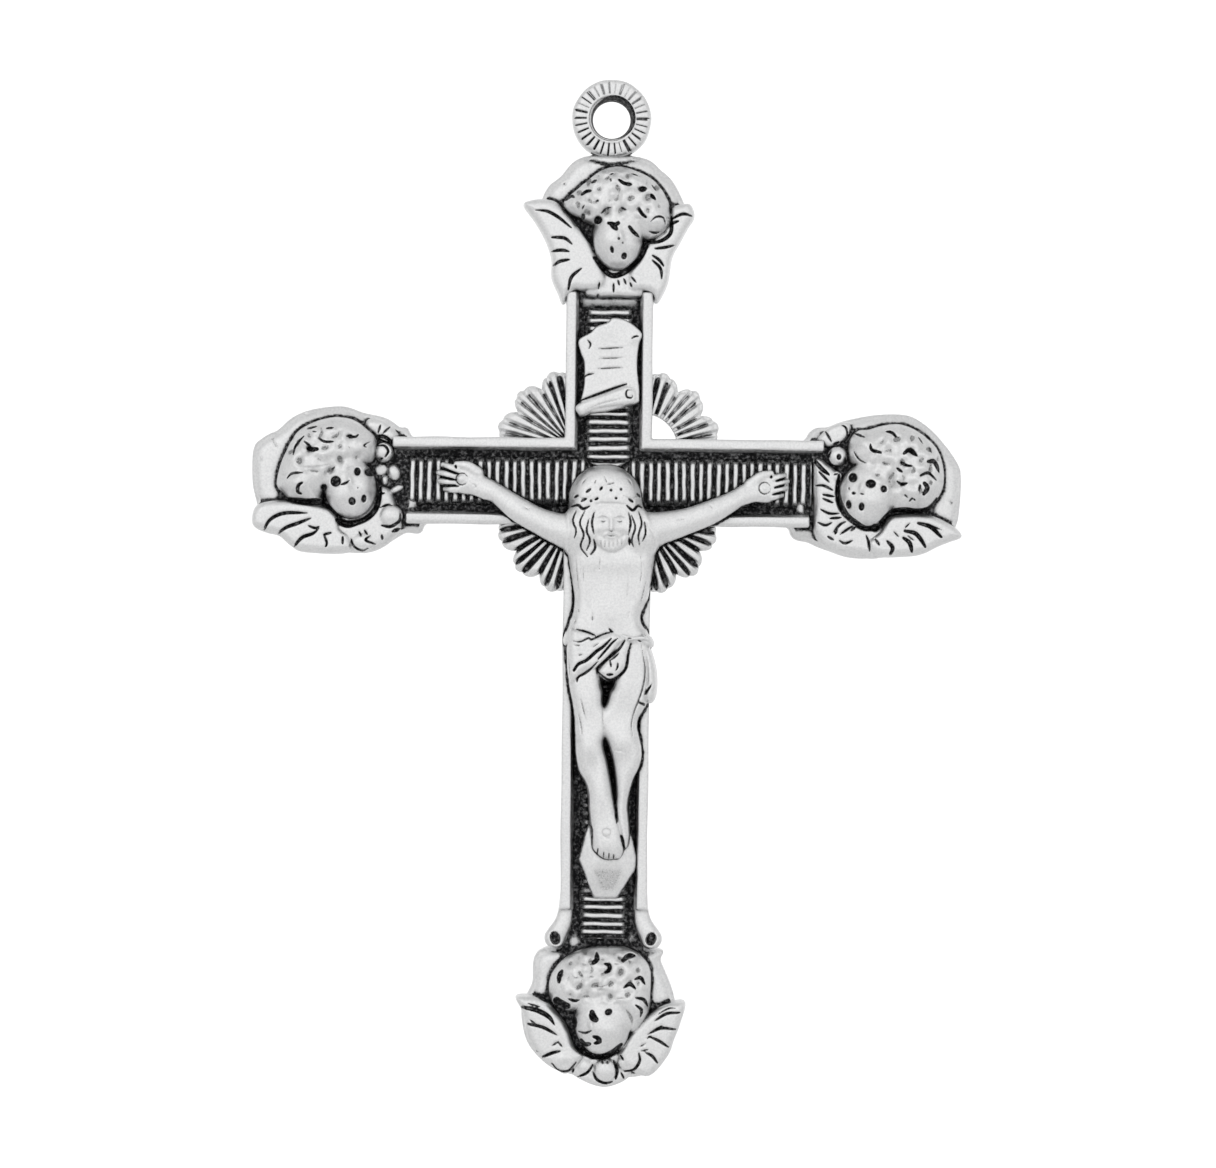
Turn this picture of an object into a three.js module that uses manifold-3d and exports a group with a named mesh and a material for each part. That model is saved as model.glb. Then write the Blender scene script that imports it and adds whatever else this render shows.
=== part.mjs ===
// A small sterling silver crucifix pendant with cherub terminals, assembled from soldered pieces.
// Millimetres, +Z up the long arm, the front faces -Y, the origin is the middle of the eyelet's hole.
import * as THREE from 'three';
import { mergeVertices } from 'three/addons/utils/BufferGeometryUtils.js';
import { ConvexGeometry } from 'three/addons/geometries/ConvexGeometry.js';
import Module from 'manifold-3d';

const wasm = await Module();
wasm.setup();

// ---- Driving dimensions ----
const CROSSING_Z = -18.4; // height of the horizontal beam's middle
const BEAM_HALF = 2.2; // half the width of both beams
const LEFT_END_X = -13;
const RIGHT_END_X = 13;
const TOP_END_Z = -3.5;
const BOTTOM_END_Z = -44;

const BACK_Y = 0.7; // the flat back
const PLATE_FRONT_Y = -0.2;
const SOLDER_GAP = 0.03; // seam left between soldered pieces
const SEAT_Y = PLATE_FRONT_Y - SOLDER_GAP; // where the pieces on the plate begin

const RIM_WIDTH = 0.65; // half-round border moulding
const RIM_HEIGHT = 0.78;
const RIM_MIDDLE = BEAM_HALF - RIM_WIDTH / 2;

const RIB_PITCH = 0.43; // ribbed ground inside the borders
const PANEL_HALF = 1.1;
const PANEL_BASE = 0.15;
const RIB_HEIGHT = 0.25;
const PANEL_FRONT_Y = SEAT_Y - PANEL_BASE - RIB_HEIGHT;
const FIGURE_BACK_Y = PANEL_FRONT_Y - 2 * SOLDER_GAP; // backs of the figure, scroll and footrest

const EYE_RADIUS = 2;
const EYE_HALF_THICKNESS = 0.7;
const EYE_TICKS = 30;

const NAIL_RADIUS = 0.13;
const NAIL_HEAD_RADIUS = 0.25;
const NAIL_HEAD_HEIGHT = 0.16;
const NAIL_TIP_Y = 0.3; // each nail ends in a blind hole in the plate
const LEFT_NAIL = { x: -7.35, y: -1.25, z: -18.34 };
const RIGHT_NAIL = { x: 7.9, y: -1.25, z: -18.65 };
const FEET_NAIL = { x: 0.12, y: -2.0, z: -36.05 };

const ROUND_SIDES = 11;

// ---- Solids: manifold-3d joins and cuts what three.js geometry classes make ----
function signedVolume(points, faces) {
  const corner = (i) => new THREE.Vector3().fromArray(points, 3 * i);
  let volume = 0;
  for (let f = 0; f < faces.length; f += 3) {
    const [a, b, c] = [corner(faces[f]), corner(faces[f + 1]), corner(faces[f + 2])];
    volume += a.dot(b.cross(c)) / 6;
  }
  return volume;
}

function toSolid(geometry) {
  const bare = geometry.clone();
  bare.deleteAttribute('normal');
  bare.deleteAttribute('uv');
  const merged = mergeVertices(bare, 1e-5);
  const points = new Float32Array(merged.attributes.position.array);
  const faces = [];
  const index = merged.index.array;
  for (let f = 0; f < index.length; f += 3) {
    const [a, b, c] = [index[f], index[f + 1], index[f + 2]];
    if (a !== b && b !== c && c !== a) faces.push(a, b, c);
  }
  if (signedVolume(points, faces) < 0) faces.reverse();
  const triVerts = new Uint32Array(faces);
  return new wasm.Manifold(new wasm.Mesh({ numProp: 3, vertProperties: points, triVerts }));
}

function toGeometry(solid) {
  const mesh = solid.getMesh();
  const geometry = new THREE.BufferGeometry();
  geometry.setAttribute('position', new THREE.BufferAttribute(mesh.vertProperties, 3));
  geometry.setIndex(new THREE.BufferAttribute(mesh.triVerts, 1));
  geometry.computeVertexNormals();
  return geometry;
}

const join = (solids) => solids.reduce((whole, piece) => whole.add(piece));
const cut = (solid, tools) => tools.reduce((left, tool) => left.subtract(tool), solid);

// An outline in (x, z) raised from yBack towards the front
function slab(shape, yBack, thickness, curveSegments = 10) {
  const geometry = new THREE.ExtrudeGeometry(shape, { depth: thickness, bevelEnabled: false, curveSegments });
  return toSolid(geometry.rotateX(Math.PI / 2).translate(0, yBack, 0));
}

function outline(points) {
  return new THREE.Shape(points.map(([x, z]) => new THREE.Vector2(x, z)));
}

function smoothOutline(points) {
  const shape = new THREE.Shape().moveTo(...points[0]);
  const rest = points.slice(1).concat([points[0]]);
  return shape.splineThru(rest.map(([x, z]) => new THREE.Vector2(x, z)));
}

function ellipse(x, z, rx, rz) {
  return new THREE.Shape().absellipse(x, z, rx, rz, 0, 2 * Math.PI);
}

function box(x0, x1, y0, y1, z0, z1) {
  const geometry = new THREE.BoxGeometry(x1 - x0, y1 - y0, z1 - z0);
  return toSolid(geometry.translate((x0 + x1) / 2, (y0 + y1) / 2, (z0 + z1) / 2));
}

function ball(centre, radii) {
  const geometry = new THREE.SphereGeometry(1, ROUND_SIDES, ROUND_SIDES - 4);
  return toSolid(geometry.scale(...radii).translate(...centre));
}

// A tapered limb with round ends, from point a to point b
function limb(a, b, radiusA, radiusB, sides = 8) {
  const start = new THREE.Vector3(...a);
  const along = new THREE.Vector3(...b).sub(start);
  const length = along.length();
  const lean = Math.asin((radiusA - radiusB) / length);
  const profile = [];
  const arc = (radius, base, from, to, steps) => {
    for (let i = 0; i <= steps; i += 1) {
      const angle = from + ((to - from) * i) / steps;
      profile.push(new THREE.Vector2(Math.max(radius * Math.cos(angle), 0), base + radius * Math.sin(angle)));
    }
  };
  arc(radiusA, 0, -Math.PI / 2, lean, 2);
  arc(radiusB, length, lean, Math.PI / 2, 2);
  profile[0].x = 0;
  profile[profile.length - 1].x = 0;
  const turn = new THREE.Quaternion().setFromUnitVectors(new THREE.Vector3(0, 1, 0), along.normalize());
  const geometry = new THREE.LatheGeometry(profile, sides).applyQuaternion(turn);
  return toSolid(geometry.translate(...a));
}

// A section drawn across a line in the XZ plane: its x lies across the line, its y towards the front
function sweptAlong(section, from, to, yBack) {
  const along = new THREE.Vector3(to[0] - from[0], 0, to[1] - from[1]);
  const depth = along.length();
  along.normalize();
  const front = new THREE.Vector3(0, -1, 0);
  const across = front.clone().cross(along);
  const place = new THREE.Matrix4().makeBasis(across, front, along).setPosition(from[0], yBack, from[1]);
  const geometry = new THREE.ExtrudeGeometry(section, { depth, bevelEnabled: false, curveSegments: 3 });
  return toSolid(geometry.applyMatrix4(place));
}

const inFrontOf = (y) => box(-30, 30, -10, y, -60, 10);

// ---- Border mouldings: one half-round L-shaped rim in each quarter of the cross ----
const QUARTERS = [
  { name: 'upper_left', sideX: -1, sideZ: 1, endX: 10.1, endZ: -9.7 },
  { name: 'upper_right', sideX: 1, sideZ: 1, endX: 10.1, endZ: -9.7 },
  { name: 'lower_left', sideX: -1, sideZ: -1, endX: 9.4, endZ: -40.2 },
  { name: 'lower_right', sideX: 1, sideZ: -1, endX: 9.4, endZ: -40.2 },
];
const VOLUTE = { x: 2.42, z: -41.5, radius: 0.6, hole: 0.22 };

function rimSection(grow) {
  const half = RIM_WIDTH / 2 + grow;
  const wall = RIM_HEIGHT - RIM_WIDTH / 2;
  const section = new THREE.Shape().moveTo(half, -grow).lineTo(half, wall);
  return section.absarc(0, wall, half, 0, Math.PI, false).lineTo(-half, -grow).closePath();
}

function mouldingBars({ sideX, sideZ, endX, endZ }, grow = 0) {
  const x = sideX * RIM_MIDDLE;
  const z = CROSSING_Z + sideZ * RIM_MIDDLE;
  const corner = RIM_WIDTH / 2 - grow;
  const upright = [[x, endZ], [x, z - sideZ * corner]];
  const level = [[sideX * endX, z], [x - sideX * corner, z]];
  const lines = [upright, level];
  if (sideZ < 0) lines.push([[x, endZ + 0.1], [sideX * VOLUTE.x, VOLUTE.z]]);
  return join(lines.map(([from, to]) => sweptAlong(rimSection(grow), from, to, SEAT_Y)));
}

function borderMoulding(quarter) {
  const bars = mouldingBars(quarter);
  if (quarter.sideZ > 0) return bars;
  const x = quarter.sideX * VOLUTE.x;
  const disc = slab(ellipse(x, VOLUTE.z, VOLUTE.radius, VOLUTE.radius), SEAT_Y, RIM_HEIGHT - 0.1, 8);
  const drilled = slab(ellipse(x, VOLUTE.z, VOLUTE.hole, VOLUTE.hole), SEAT_Y - 0.2, RIM_HEIGHT, 6);
  return bars.add(disc).subtract(drilled);
}

const rimClearance = QUARTERS.map((quarter) => mouldingBars(quarter, SOLDER_GAP));

// ---- Nails: round-headed pins, and the tools that clear their way ----
function turnedPin(profile, { x, z }) {
  const points = profile.map(([radius, y]) => new THREE.Vector2(radius, y));
  return toSolid(new THREE.LatheGeometry(points, ROUND_SIDES).translate(x, 0, z));
}

function nail(place) {
  const dome = place.y - NAIL_HEAD_HEIGHT;
  return turnedPin([
    [0, NAIL_TIP_Y], [NAIL_RADIUS, NAIL_TIP_Y], [NAIL_RADIUS, place.y], [NAIL_HEAD_RADIUS, place.y],
    [NAIL_HEAD_RADIUS * 0.85, place.y - NAIL_HEAD_HEIGHT * 0.6],
    [NAIL_HEAD_RADIUS * 0.45, dome + 0.02], [0, dome],
  ], place);
}

function nailWay(place) {
  const shaft = NAIL_RADIUS + SOLDER_GAP;
  const head = NAIL_HEAD_RADIUS + SOLDER_GAP;
  const floor = NAIL_TIP_Y + SOLDER_GAP;
  const shoulder = place.y + SOLDER_GAP;
  const profile = [[0, floor], [shaft, floor], [shaft, shoulder], [head, shoulder], [head, -4], [0, -4]];
  return turnedPin(profile, place);
}

const nailWays = [LEFT_NAIL, RIGHT_NAIL, FEET_NAIL].map(nailWay);

// ---- Cross plate: beams and lobed ends, with a seat for the eyelet ----
function crossPlate() {
  const thickness = BACK_Y - PLATE_FRONT_Y;
  const layer = (shape) => slab(shape, BACK_Y, thickness, 9);
  const bar = (x0, x1, z0, z1) => box(x0, x1, PLATE_FRONT_Y, BACK_Y, z0, z1);
  const lobes = [
    [0.05, -5.1, 3.35, 3.25], [0, -7.2, 2.95, 2.2],
    [-14.35, -18.35, 3.65, 3.7], [-11.4, -18.4, 2.3, 3],
    [14.3, -18.45, 3.6, 3.5], [11.4, -18.5, 2.3, 3],
    [0, -45.2, 3.55, 3.5],
  ];
  const plate = join([
    bar(-BEAM_HALF, BEAM_HALF, BOTTOM_END_Z, TOP_END_Z),
    bar(LEFT_END_X, RIGHT_END_X, CROSSING_Z - BEAM_HALF, CROSSING_Z + BEAM_HALF),
    ...lobes.map((lobe) => layer(ellipse(...lobe))),
  ]);
  const eyeletSeat = slab(ellipse(0, 0, EYE_RADIUS + SOLDER_GAP, EYE_RADIUS + SOLDER_GAP), 2, 4, 16);
  return cut(plate, [eyeletSeat, ...nailWays]);
}

// ---- Eyelet: a turned ring with a tapered hole and fine engraved ticks round its face ----
function eyelet() {
  const t = EYE_HALF_THICKNESS;
  const profile = [
    [1.12, -t + 0.1], [1.22, -t], [EYE_RADIUS - 0.15, -t], [EYE_RADIUS, -t + 0.15], [EYE_RADIUS, t - 0.15],
    [EYE_RADIUS - 0.15, t], [1.05, t], [0.96, t - 0.1], [0.96, 0], [1.12, -t + 0.1],
  ].map(([radius, y]) => new THREE.Vector2(radius, y));
  const ring = toSolid(new THREE.LatheGeometry(profile, 24));
  const tick = new THREE.BoxGeometry(0.45, 0.16, 0.09).translate(1.55, -t, 0);
  const ticks = Array.from({ length: EYE_TICKS }, (_, i) => {
    return toSolid(tick.clone().rotateY((2 * Math.PI * (i + 0.5)) / EYE_TICKS));
  });
  return cut(ring, ticks);
}

// ---- Ribbed panels: grooved ground in each arm, mitred where they meet at the crossing ----
function ribSection(length) {
  const section = new THREE.Shape().moveTo(0, 0);
  const count = Math.floor(length / RIB_PITCH);
  section.lineTo(length, 0).lineTo(length, PANEL_BASE);
  for (let i = count - 1; i >= 0; i -= 1) {
    const start = i * RIB_PITCH;
    section.lineTo(start + RIB_PITCH * 0.86, PANEL_BASE);
    section.lineTo(start + RIB_PITCH * 0.68, PANEL_BASE + RIB_HEIGHT);
    section.lineTo(start + RIB_PITCH * 0.32, PANEL_BASE + RIB_HEIGHT);
    section.lineTo(start + RIB_PITCH * 0.14, PANEL_BASE);
  }
  return section.lineTo(0, PANEL_BASE).closePath();
}

function ribbedPanel(region, low, high, upright) {
  const half = PANEL_HALF + RIB_PITCH;
  const line = upright
    ? [[-half, low], [half, low]]
    : [[low, CROSSING_Z + half], [low, CROSSING_Z - half]];
  const ribs = sweptAlong(ribSection(high - low), ...line, SEAT_Y);
  return cut(ribs.intersect(slab(outline(region), 0, 2)), nailWays);
}

const PANELS = [
  { name: 'top', dirX: 0, dirZ: 1, end: 8.8 },
  { name: 'bottom', dirX: 0, dirZ: -1, end: 23.1 },
  { name: 'left', dirX: -1, dirZ: 0, end: 10.1 },
  { name: 'right', dirX: 1, dirZ: 0, end: 10.3 },
];

function panel({ dirX, dirZ, end }) {
  const shoulder = PANEL_HALF + SOLDER_GAP;
  const tip = SOLDER_GAP;
  const corners = [
    [-PANEL_HALF, end], [-PANEL_HALF, shoulder], [0, tip], [PANEL_HALF, shoulder], [PANEL_HALF, end],
  ];
  const upright = dirX === 0;
  const middle = upright ? CROSSING_Z : 0;
  const out = upright ? dirZ : dirX;
  const region = corners.map(([side, reach]) => (upright
    ? [side, middle + out * reach]
    : [middle + out * reach, CROSSING_Z + side]));
  return ribbedPanel(region, middle + Math.min(0, out * end), middle + Math.max(0, out * end), upright);
}

// ---- Ray fans: scalloped bursts of rays in the four corners of the crossing ----
const FAN_CENTRE = 1.75; // each fan spreads from here, measured from the crossing
const FAN_RADIUS = 4.1;
const FAN_LOBES = 3;
const RAYS_PER_LOBE = 4;
const FAN_FROM = THREE.MathUtils.degToRad(4);
const FAN_STEP = THREE.MathUtils.degToRad(82) / (FAN_LOBES * RAYS_PER_LOBE);
const FAN_BACK_Y = 0.45;
const FAN_FRONT_Y = -0.12;
const RAY_HEIGHT = 0.28;

function rayFan({ sideX, sideZ }) {
  const at = (radius, angle) => [
    sideX * (FAN_CENTRE + radius * Math.cos(angle)),
    CROSSING_Z + sideZ * (FAN_CENTRE + radius * Math.sin(angle)),
  ];
  const edge = [];
  const rays = [];
  for (let i = 0; i < FAN_LOBES * RAYS_PER_LOBE; i += 1) {
    const angle = FAN_FROM + FAN_STEP * (i + 0.5);
    const inLobe = (((i % RAYS_PER_LOBE) + 0.5) / RAYS_PER_LOBE) * 2 - 1;
    const reach = FAN_RADIUS - 0.42 * inLobe * inLobe;
    edge.push(at(reach, angle - FAN_STEP * 0.3), at(reach + 0.04, angle), at(reach, angle + FAN_STEP * 0.3));
    const [tipX, tipZ] = at(reach, angle);
    const [rootX, rootZ] = at(0.4, angle);
    const half = (reach * FAN_STEP) / 2.6;
    const across = [Math.sin(angle) * half * -sideX, Math.cos(angle) * half * sideZ];
    rays.push(toSolid(new ConvexGeometry([
      new THREE.Vector3(tipX + across[0], FAN_FRONT_Y + 0.1, tipZ + across[1]),
      new THREE.Vector3(tipX - across[0], FAN_FRONT_Y + 0.1, tipZ - across[1]),
      new THREE.Vector3(tipX, FAN_FRONT_Y - RAY_HEIGHT, tipZ),
      new THREE.Vector3(rootX, FAN_FRONT_Y + 0.1, rootZ),
    ])));
  }
  const leaf = slab(outline([at(0.2, Math.PI / 4), ...edge]), FAN_BACK_Y, FAN_BACK_Y - FAN_FRONT_Y);
  const inner = BEAM_HALF + SOLDER_GAP;
  const far = 9;
  const across = sideX < 0 ? [-far, -inner] : [inner, far];
  const upright = sideZ > 0 ? [CROSSING_Z + inner, CROSSING_Z + far] : [CROSSING_Z - far, CROSSING_Z - inner];
  const quarter = box(...across, -2, 2, ...upright);
  return join([leaf, ...rays]).intersect(quarter);
}

// ---- Cherubs: a head with curly hair over two wings and a feather ruff, one casting each ----
const WING_THICKNESS = 0.75;
const CHERUBS = [
  {
    name: 'cherub_top',
    head: [[0.35, -0.75, -5.2], [2.8, 1.5, 2.85]],
    face: [[0.35, -1.1, -6], [1.5, 1.28, 1.75]],
    wings: [
      [[-4.42, -4.4], [-2.6, -4.9], [-1.2, -6.8], [-1.3, -9], [-2.9, -8.2], [-3.2, -6.2]],
      [[4.15, -4.7], [3.1, -6.6], [2.9, -8.2], [1.2, -9], [1.2, -6.8], [2.8, -5.1]],
    ],
    petals: [[-1.3, -8.4, 0.75], [0.1, -8.7, 0.8], [1.3, -8.3, 0.7]],
  },
  {
    name: 'cherub_left',
    head: [[-13.9, -0.75, -17.8], [2.75, 1.5, 2.8]],
    face: [[-13.1, -1.1, -18.7], [1.45, 1.28, 1.7]],
    wings: [[[-18.02, -20.7], [-16, -19.6], [-13.6, -19.8], [-12, -21], [-13, -22.1], [-16.2, -21.9]]],
    petals: [[-12.3, -21.3, 0.7], [-11.3, -20.5, 0.85], [-11, -18.4, 0.6], [-11.3, -16.3, 0.9]],
  },
  {
    name: 'cherub_right',
    head: [[14.1, -0.75, -17.9], [2.8, 1.5, 2.75]],
    face: [[13, -1.1, -18.8], [1.45, 1.28, 1.7]],
    wings: [[[17.95, -20.9], [16, -19.8], [13.6, -19.9], [12, -21], [13, -22.2], [16.2, -22]]],
    petals: [[12.2, -21.4, 0.7], [11.3, -20.6, 0.85], [11.15, -18.6, 0.75], [11.3, -16.6, 0.9]],
  },
  {
    name: 'cherub_bottom',
    head: [[0, -0.75, -44.5], [2.7, 1.5, 2.65]],
    face: [[-0.2, -1.1, -45.5], [1.45, 1.28, 1.7]],
    wings: [
      [[-4.4, -44.5], [-2.2, -45.2], [-0.8, -46.6], [-0.9, -48.5], [-2.6, -48.2], [-3.8, -46.6]],
      [[4.2, -44.7], [3.7, -46.8], [2.6, -48.3], [0.9, -48.5], [0.8, -46.6], [2.2, -45.4]],
    ],
    petals: [[-1.7, -47.6, 0.75], [0.25, -48.35, 0.7], [1.4, -47.8, 0.7]],
  },
];

function cherub({ head, face, wings, petals }) {
  const soft = wings.map((points) => slab(smoothOutline(points), SEAT_Y + 0.4, WING_THICKNESS + 0.4, 3));
  const ruff = petals.map(([x, z, radius]) => ball([x, SEAT_Y, z], [radius, 0.9, radius]));
  const whole = join([ball(...head), ball(...face), ...soft, ...ruff]).intersect(inFrontOf(SEAT_Y));
  return cut(whole, rimClearance);
}

// ---- Scroll above the head, blank but for engraved strokes, with a rolled lower edge ----
const SCROLL_THICKNESS = 0.45;
function titulus() {
  const sheet = slab(outline([
    [0.15, -10.15], [-0.6, -10.5], [-1.58, -11.25], [-1.5, -11.8], [-1.32, -12.2], [-1.32, -14.4],
    [1.4, -13.6], [1.4, -12.2], [1.5, -11.2], [1.56, -10.85], [0.9, -10.4],
  ]), FIGURE_BACK_Y, SCROLL_THICKNESS);
  const roll = limb([-1.4, FIGURE_BACK_Y - 0.25, -14.65], [1.12, FIGURE_BACK_Y - 0.25, -14.02], 0.3, 0.34);
  const whole = sheet.add(roll).intersect(inFrontOf(FIGURE_BACK_Y));
  const strokes = [[-0.75, 0.1], [0, -0.05], [0.75, 0.1]].map(([x, lean]) => {
    return sweptAlong(rimGroove(), [x - lean, -12.9], [x + lean, -11.5], FIGURE_BACK_Y - SCROLL_THICKNESS);
  });
  return cut(whole, [...rimClearance, ...strokes]);
}

function rimGroove() {
  return new THREE.Shape().moveTo(0.07, 0.1).lineTo(-0.07, 0.1).lineTo(0, -0.12).closePath();
}

// ---- Footrest: a faceted bracket under the feet ----
const FOOTREST_FRONT_Y = -1.5;
function footrest() {
  const back = [[-0.8, -35.4], [0.9, -35.4], [-1.46, -37.5], [1.46, -37.45], [-0.7, -39.45], [0.62, -39.45]];
  const front = [[-1.32, -37.6], [1.38, -37.55], [-0.9, -38.05], [0.95, -38.05]];
  return new ConvexGeometry([
    ...back.map(([x, z]) => new THREE.Vector3(x, FIGURE_BACK_Y, z)),
    ...front.map(([x, z]) => new THREE.Vector3(x, FOOTREST_FRONT_Y, z)),
  ]);
}

// ---- The figure: one casting, flat behind, let down over the borders and the footrest ----
function corpus() {
  const pieces = [
    ball([-0.15, -1.5, -19.35], [1.75, 0.9, 1.85]), // crowned head and hair
    ball([-0.05, -1.6, -21.2], [0.95, 0.72, 1]), // beard
    limb([-1.15, -1.2, -20.2], [-1.2, -1.15, -22.1], 0.62, 0.3), // hair locks
    limb([1.1, -1.2, -20.2], [1.3, -1.15, -21.8], 0.6, 0.3),
    ball([0.25, -1.2, -22.2], [2.05, 0.95, 1.9]), // chest
    ball([0.05, -1.15, -24.6], [1.68, 0.82, 2.1]), // belly
    limb([-1.7, -1.15, -20.95], [-4.5, -1.15, -20.25], 0.92, 0.72), // arms
    limb([-4.5, -1.15, -20.25], [-6.5, -1.1, -18.95], 0.72, 0.48),
    limb([2.1, -1.15, -20.85], [4.9, -1.15, -20.35], 0.92, 0.7),
    limb([4.9, -1.15, -20.35], [7, -1.1, -19.2], 0.7, 0.48),
    ball([-7.4, -1, -18.42], [1.25, 0.32, 0.62]), // hands
    ball([7.9, -1, -18.72], [1.25, 0.32, 0.7]),
    ball([0.12, -1.3, -27.1], [1.85, 1, 1.5]), // loincloth and its hanging end
    limb([1.75, -1.05, -26.5], [2, -1, -29.1], 0.42, 0.36),
    limb([-0.75, -1.25, -27.6], [-0.75, -1.6, -31.9], 0.95, 0.72), // legs
    limb([0.85, -1.25, -27.6], [0.95, -1.6, -31.9], 0.98, 0.72),
    limb([-0.75, -1.6, -31.9], [-0.3, -1.2, -35], 0.72, 0.44),
    limb([0.95, -1.6, -31.9], [0.5, -1.2, -35], 0.72, 0.42),
    limb([-0.25, -1.3, -34.8], [-0.08, -1.75, -36.9], 0.46, 0.38), // feet
    limb([0.45, -1.3, -34.8], [0.3, -1.75, -36.8], 0.44, 0.36),
  ];
  const clearOfFootrest = toSolid(footrest().translate(0, -SOLDER_GAP, 0));
  const whole = join(pieces).intersect(inFrontOf(FIGURE_BACK_Y - SOLDER_GAP));
  return cut(whole, [clearOfFootrest, ...rimClearance, ...nailWays]);
}

// ---- Assembly ----
const SILVER = { color: 0xd9dadb, roughness: 0.38, metalness: 1 };
const OXIDISED = { color: 0x8b8c8e, roughness: 0.5, metalness: 1 };
const group = new THREE.Group();

function addPart(name, solid, finish = SILVER) {
  const mesh = new THREE.Mesh(toGeometry(solid), new THREE.MeshStandardMaterial(finish));
  mesh.name = name;
  group.add(mesh);
}

addPart('cross_plate', crossPlate());
addPart('eyelet', eyelet());
for (const quarter of QUARTERS) {
  addPart(`border_moulding_${quarter.name}`, borderMoulding(quarter));
  addPart(`ray_fan_${quarter.name}`, rayFan(quarter), OXIDISED);
}
for (const place of PANELS) addPart(`ribbed_panel_${place.name}`, panel(place), OXIDISED);
for (const figure of CHERUBS) addPart(figure.name, cherub(figure));
addPart('titulus_scroll', titulus());
addPart('footrest', cut(toSolid(footrest()), [nailWays[2]]));
addPart('corpus', corpus());
addPart('nail_left_hand', nail(LEFT_NAIL));
addPart('nail_right_hand', nail(RIGHT_NAIL));
addPart('nail_feet', nail(FEET_NAIL));

export default group;
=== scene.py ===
"""Looks of the crucifix pendant: antiqued sterling silver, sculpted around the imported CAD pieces.

Shapes are worked out in millimetres in the row frame: +Z up, the front faces -Y. Reliefs and castings are
signed distances on a grid, meshed with OpenVDB. Black oxide is left wherever a polishing ball can't reach.
"""
import math

import bpy
import numpy as np
import openvdb
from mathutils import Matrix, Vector

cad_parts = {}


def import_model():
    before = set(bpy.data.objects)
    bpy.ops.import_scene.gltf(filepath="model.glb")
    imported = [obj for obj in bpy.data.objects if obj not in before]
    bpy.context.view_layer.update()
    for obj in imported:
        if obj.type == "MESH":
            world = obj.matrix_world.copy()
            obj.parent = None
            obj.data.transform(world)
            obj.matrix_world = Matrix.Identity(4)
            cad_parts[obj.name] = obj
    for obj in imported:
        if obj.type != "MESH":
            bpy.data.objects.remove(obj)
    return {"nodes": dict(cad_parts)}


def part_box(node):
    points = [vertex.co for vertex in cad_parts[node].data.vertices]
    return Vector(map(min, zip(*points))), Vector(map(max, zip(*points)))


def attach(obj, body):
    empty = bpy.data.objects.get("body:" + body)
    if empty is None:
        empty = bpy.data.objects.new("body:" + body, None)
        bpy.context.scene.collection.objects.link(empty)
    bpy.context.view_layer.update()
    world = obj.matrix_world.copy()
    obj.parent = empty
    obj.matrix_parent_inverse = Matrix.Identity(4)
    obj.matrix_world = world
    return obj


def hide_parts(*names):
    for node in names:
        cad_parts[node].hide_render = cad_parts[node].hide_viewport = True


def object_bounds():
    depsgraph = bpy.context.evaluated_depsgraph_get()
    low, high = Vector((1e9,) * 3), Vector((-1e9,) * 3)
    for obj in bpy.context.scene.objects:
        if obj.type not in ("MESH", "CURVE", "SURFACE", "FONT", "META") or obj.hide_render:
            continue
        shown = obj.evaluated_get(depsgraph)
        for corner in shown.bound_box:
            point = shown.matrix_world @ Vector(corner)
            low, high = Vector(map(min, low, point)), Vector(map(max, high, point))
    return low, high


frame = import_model()
cad_low, cad_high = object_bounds()

MM = 0.001
ROOT = "root"
FINE = 0.053  # grid step of the figure and the cherubs, mm
PLAIN = 0.07  # grid step of the plainer pieces, mm
COARSE = 0.11  # grid step of the plate, mm
BAND = 3  # how many grid steps the signed distances are kept for on each side of a surface
BALL = 0.32  # radius of the polishing ball, mm
BUFF = 0.42  # radius of the flat buff, mm
FAR = 99.0  # farther than anything on the pendant, mm
rng = np.random.default_rng(7)
pieces = []


def box_mm(node):
    """The box of a CAD node, in mm."""
    low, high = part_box(node)
    return np.array(low) / MM, np.array(high) / MM


# ---------------------------------------------------------------- places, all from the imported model

plate_low, plate_high = box_mm("cross_plate")
PLATE_BACK, PLATE_FRONT = plate_high[1], plate_low[1]
panel_low, panel_high = box_mm("ribbed_panel_left")
CROSS_Z = (panel_low[2] + panel_high[2]) / 2
PANEL_HALF = (panel_high[2] - panel_low[2]) / 2
SEAT = panel_high[1]  # the back of everything that sits on the plate
BOND = 0.08  # how far the pieces sink into what they are soldered to, so that no gap shows
corner_low, _ = box_mm("border_moulding_upper_right")
RIM_WIDTH = 0.65
RIM_CREST = corner_low[1]
RIM_MIDDLE = corner_low[0] + RIM_WIDTH / 2
BEAM_HALF = corner_low[0] + RIM_WIDTH


# ---------------------------------------------------------------- smooth maths


def smin(a, b, k):
    """The lower of the two, with the corner between them rounded over k."""
    h = np.clip(0.5 + 0.5 * (b - a) / k, 0, 1)
    return b + (a - b) * h - k * h * (1 - h)


def smax(a, b, k):
    """The higher of the two, with the corner between them rounded over k."""
    return -smin(-a, -b, k)


def ramp(value, start, end):
    """Rises smoothly from 0 at start to 1 at end."""
    t = np.clip((value - start) / (end - start), 0, 1)
    return t * t * (3 - 2 * t)


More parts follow.
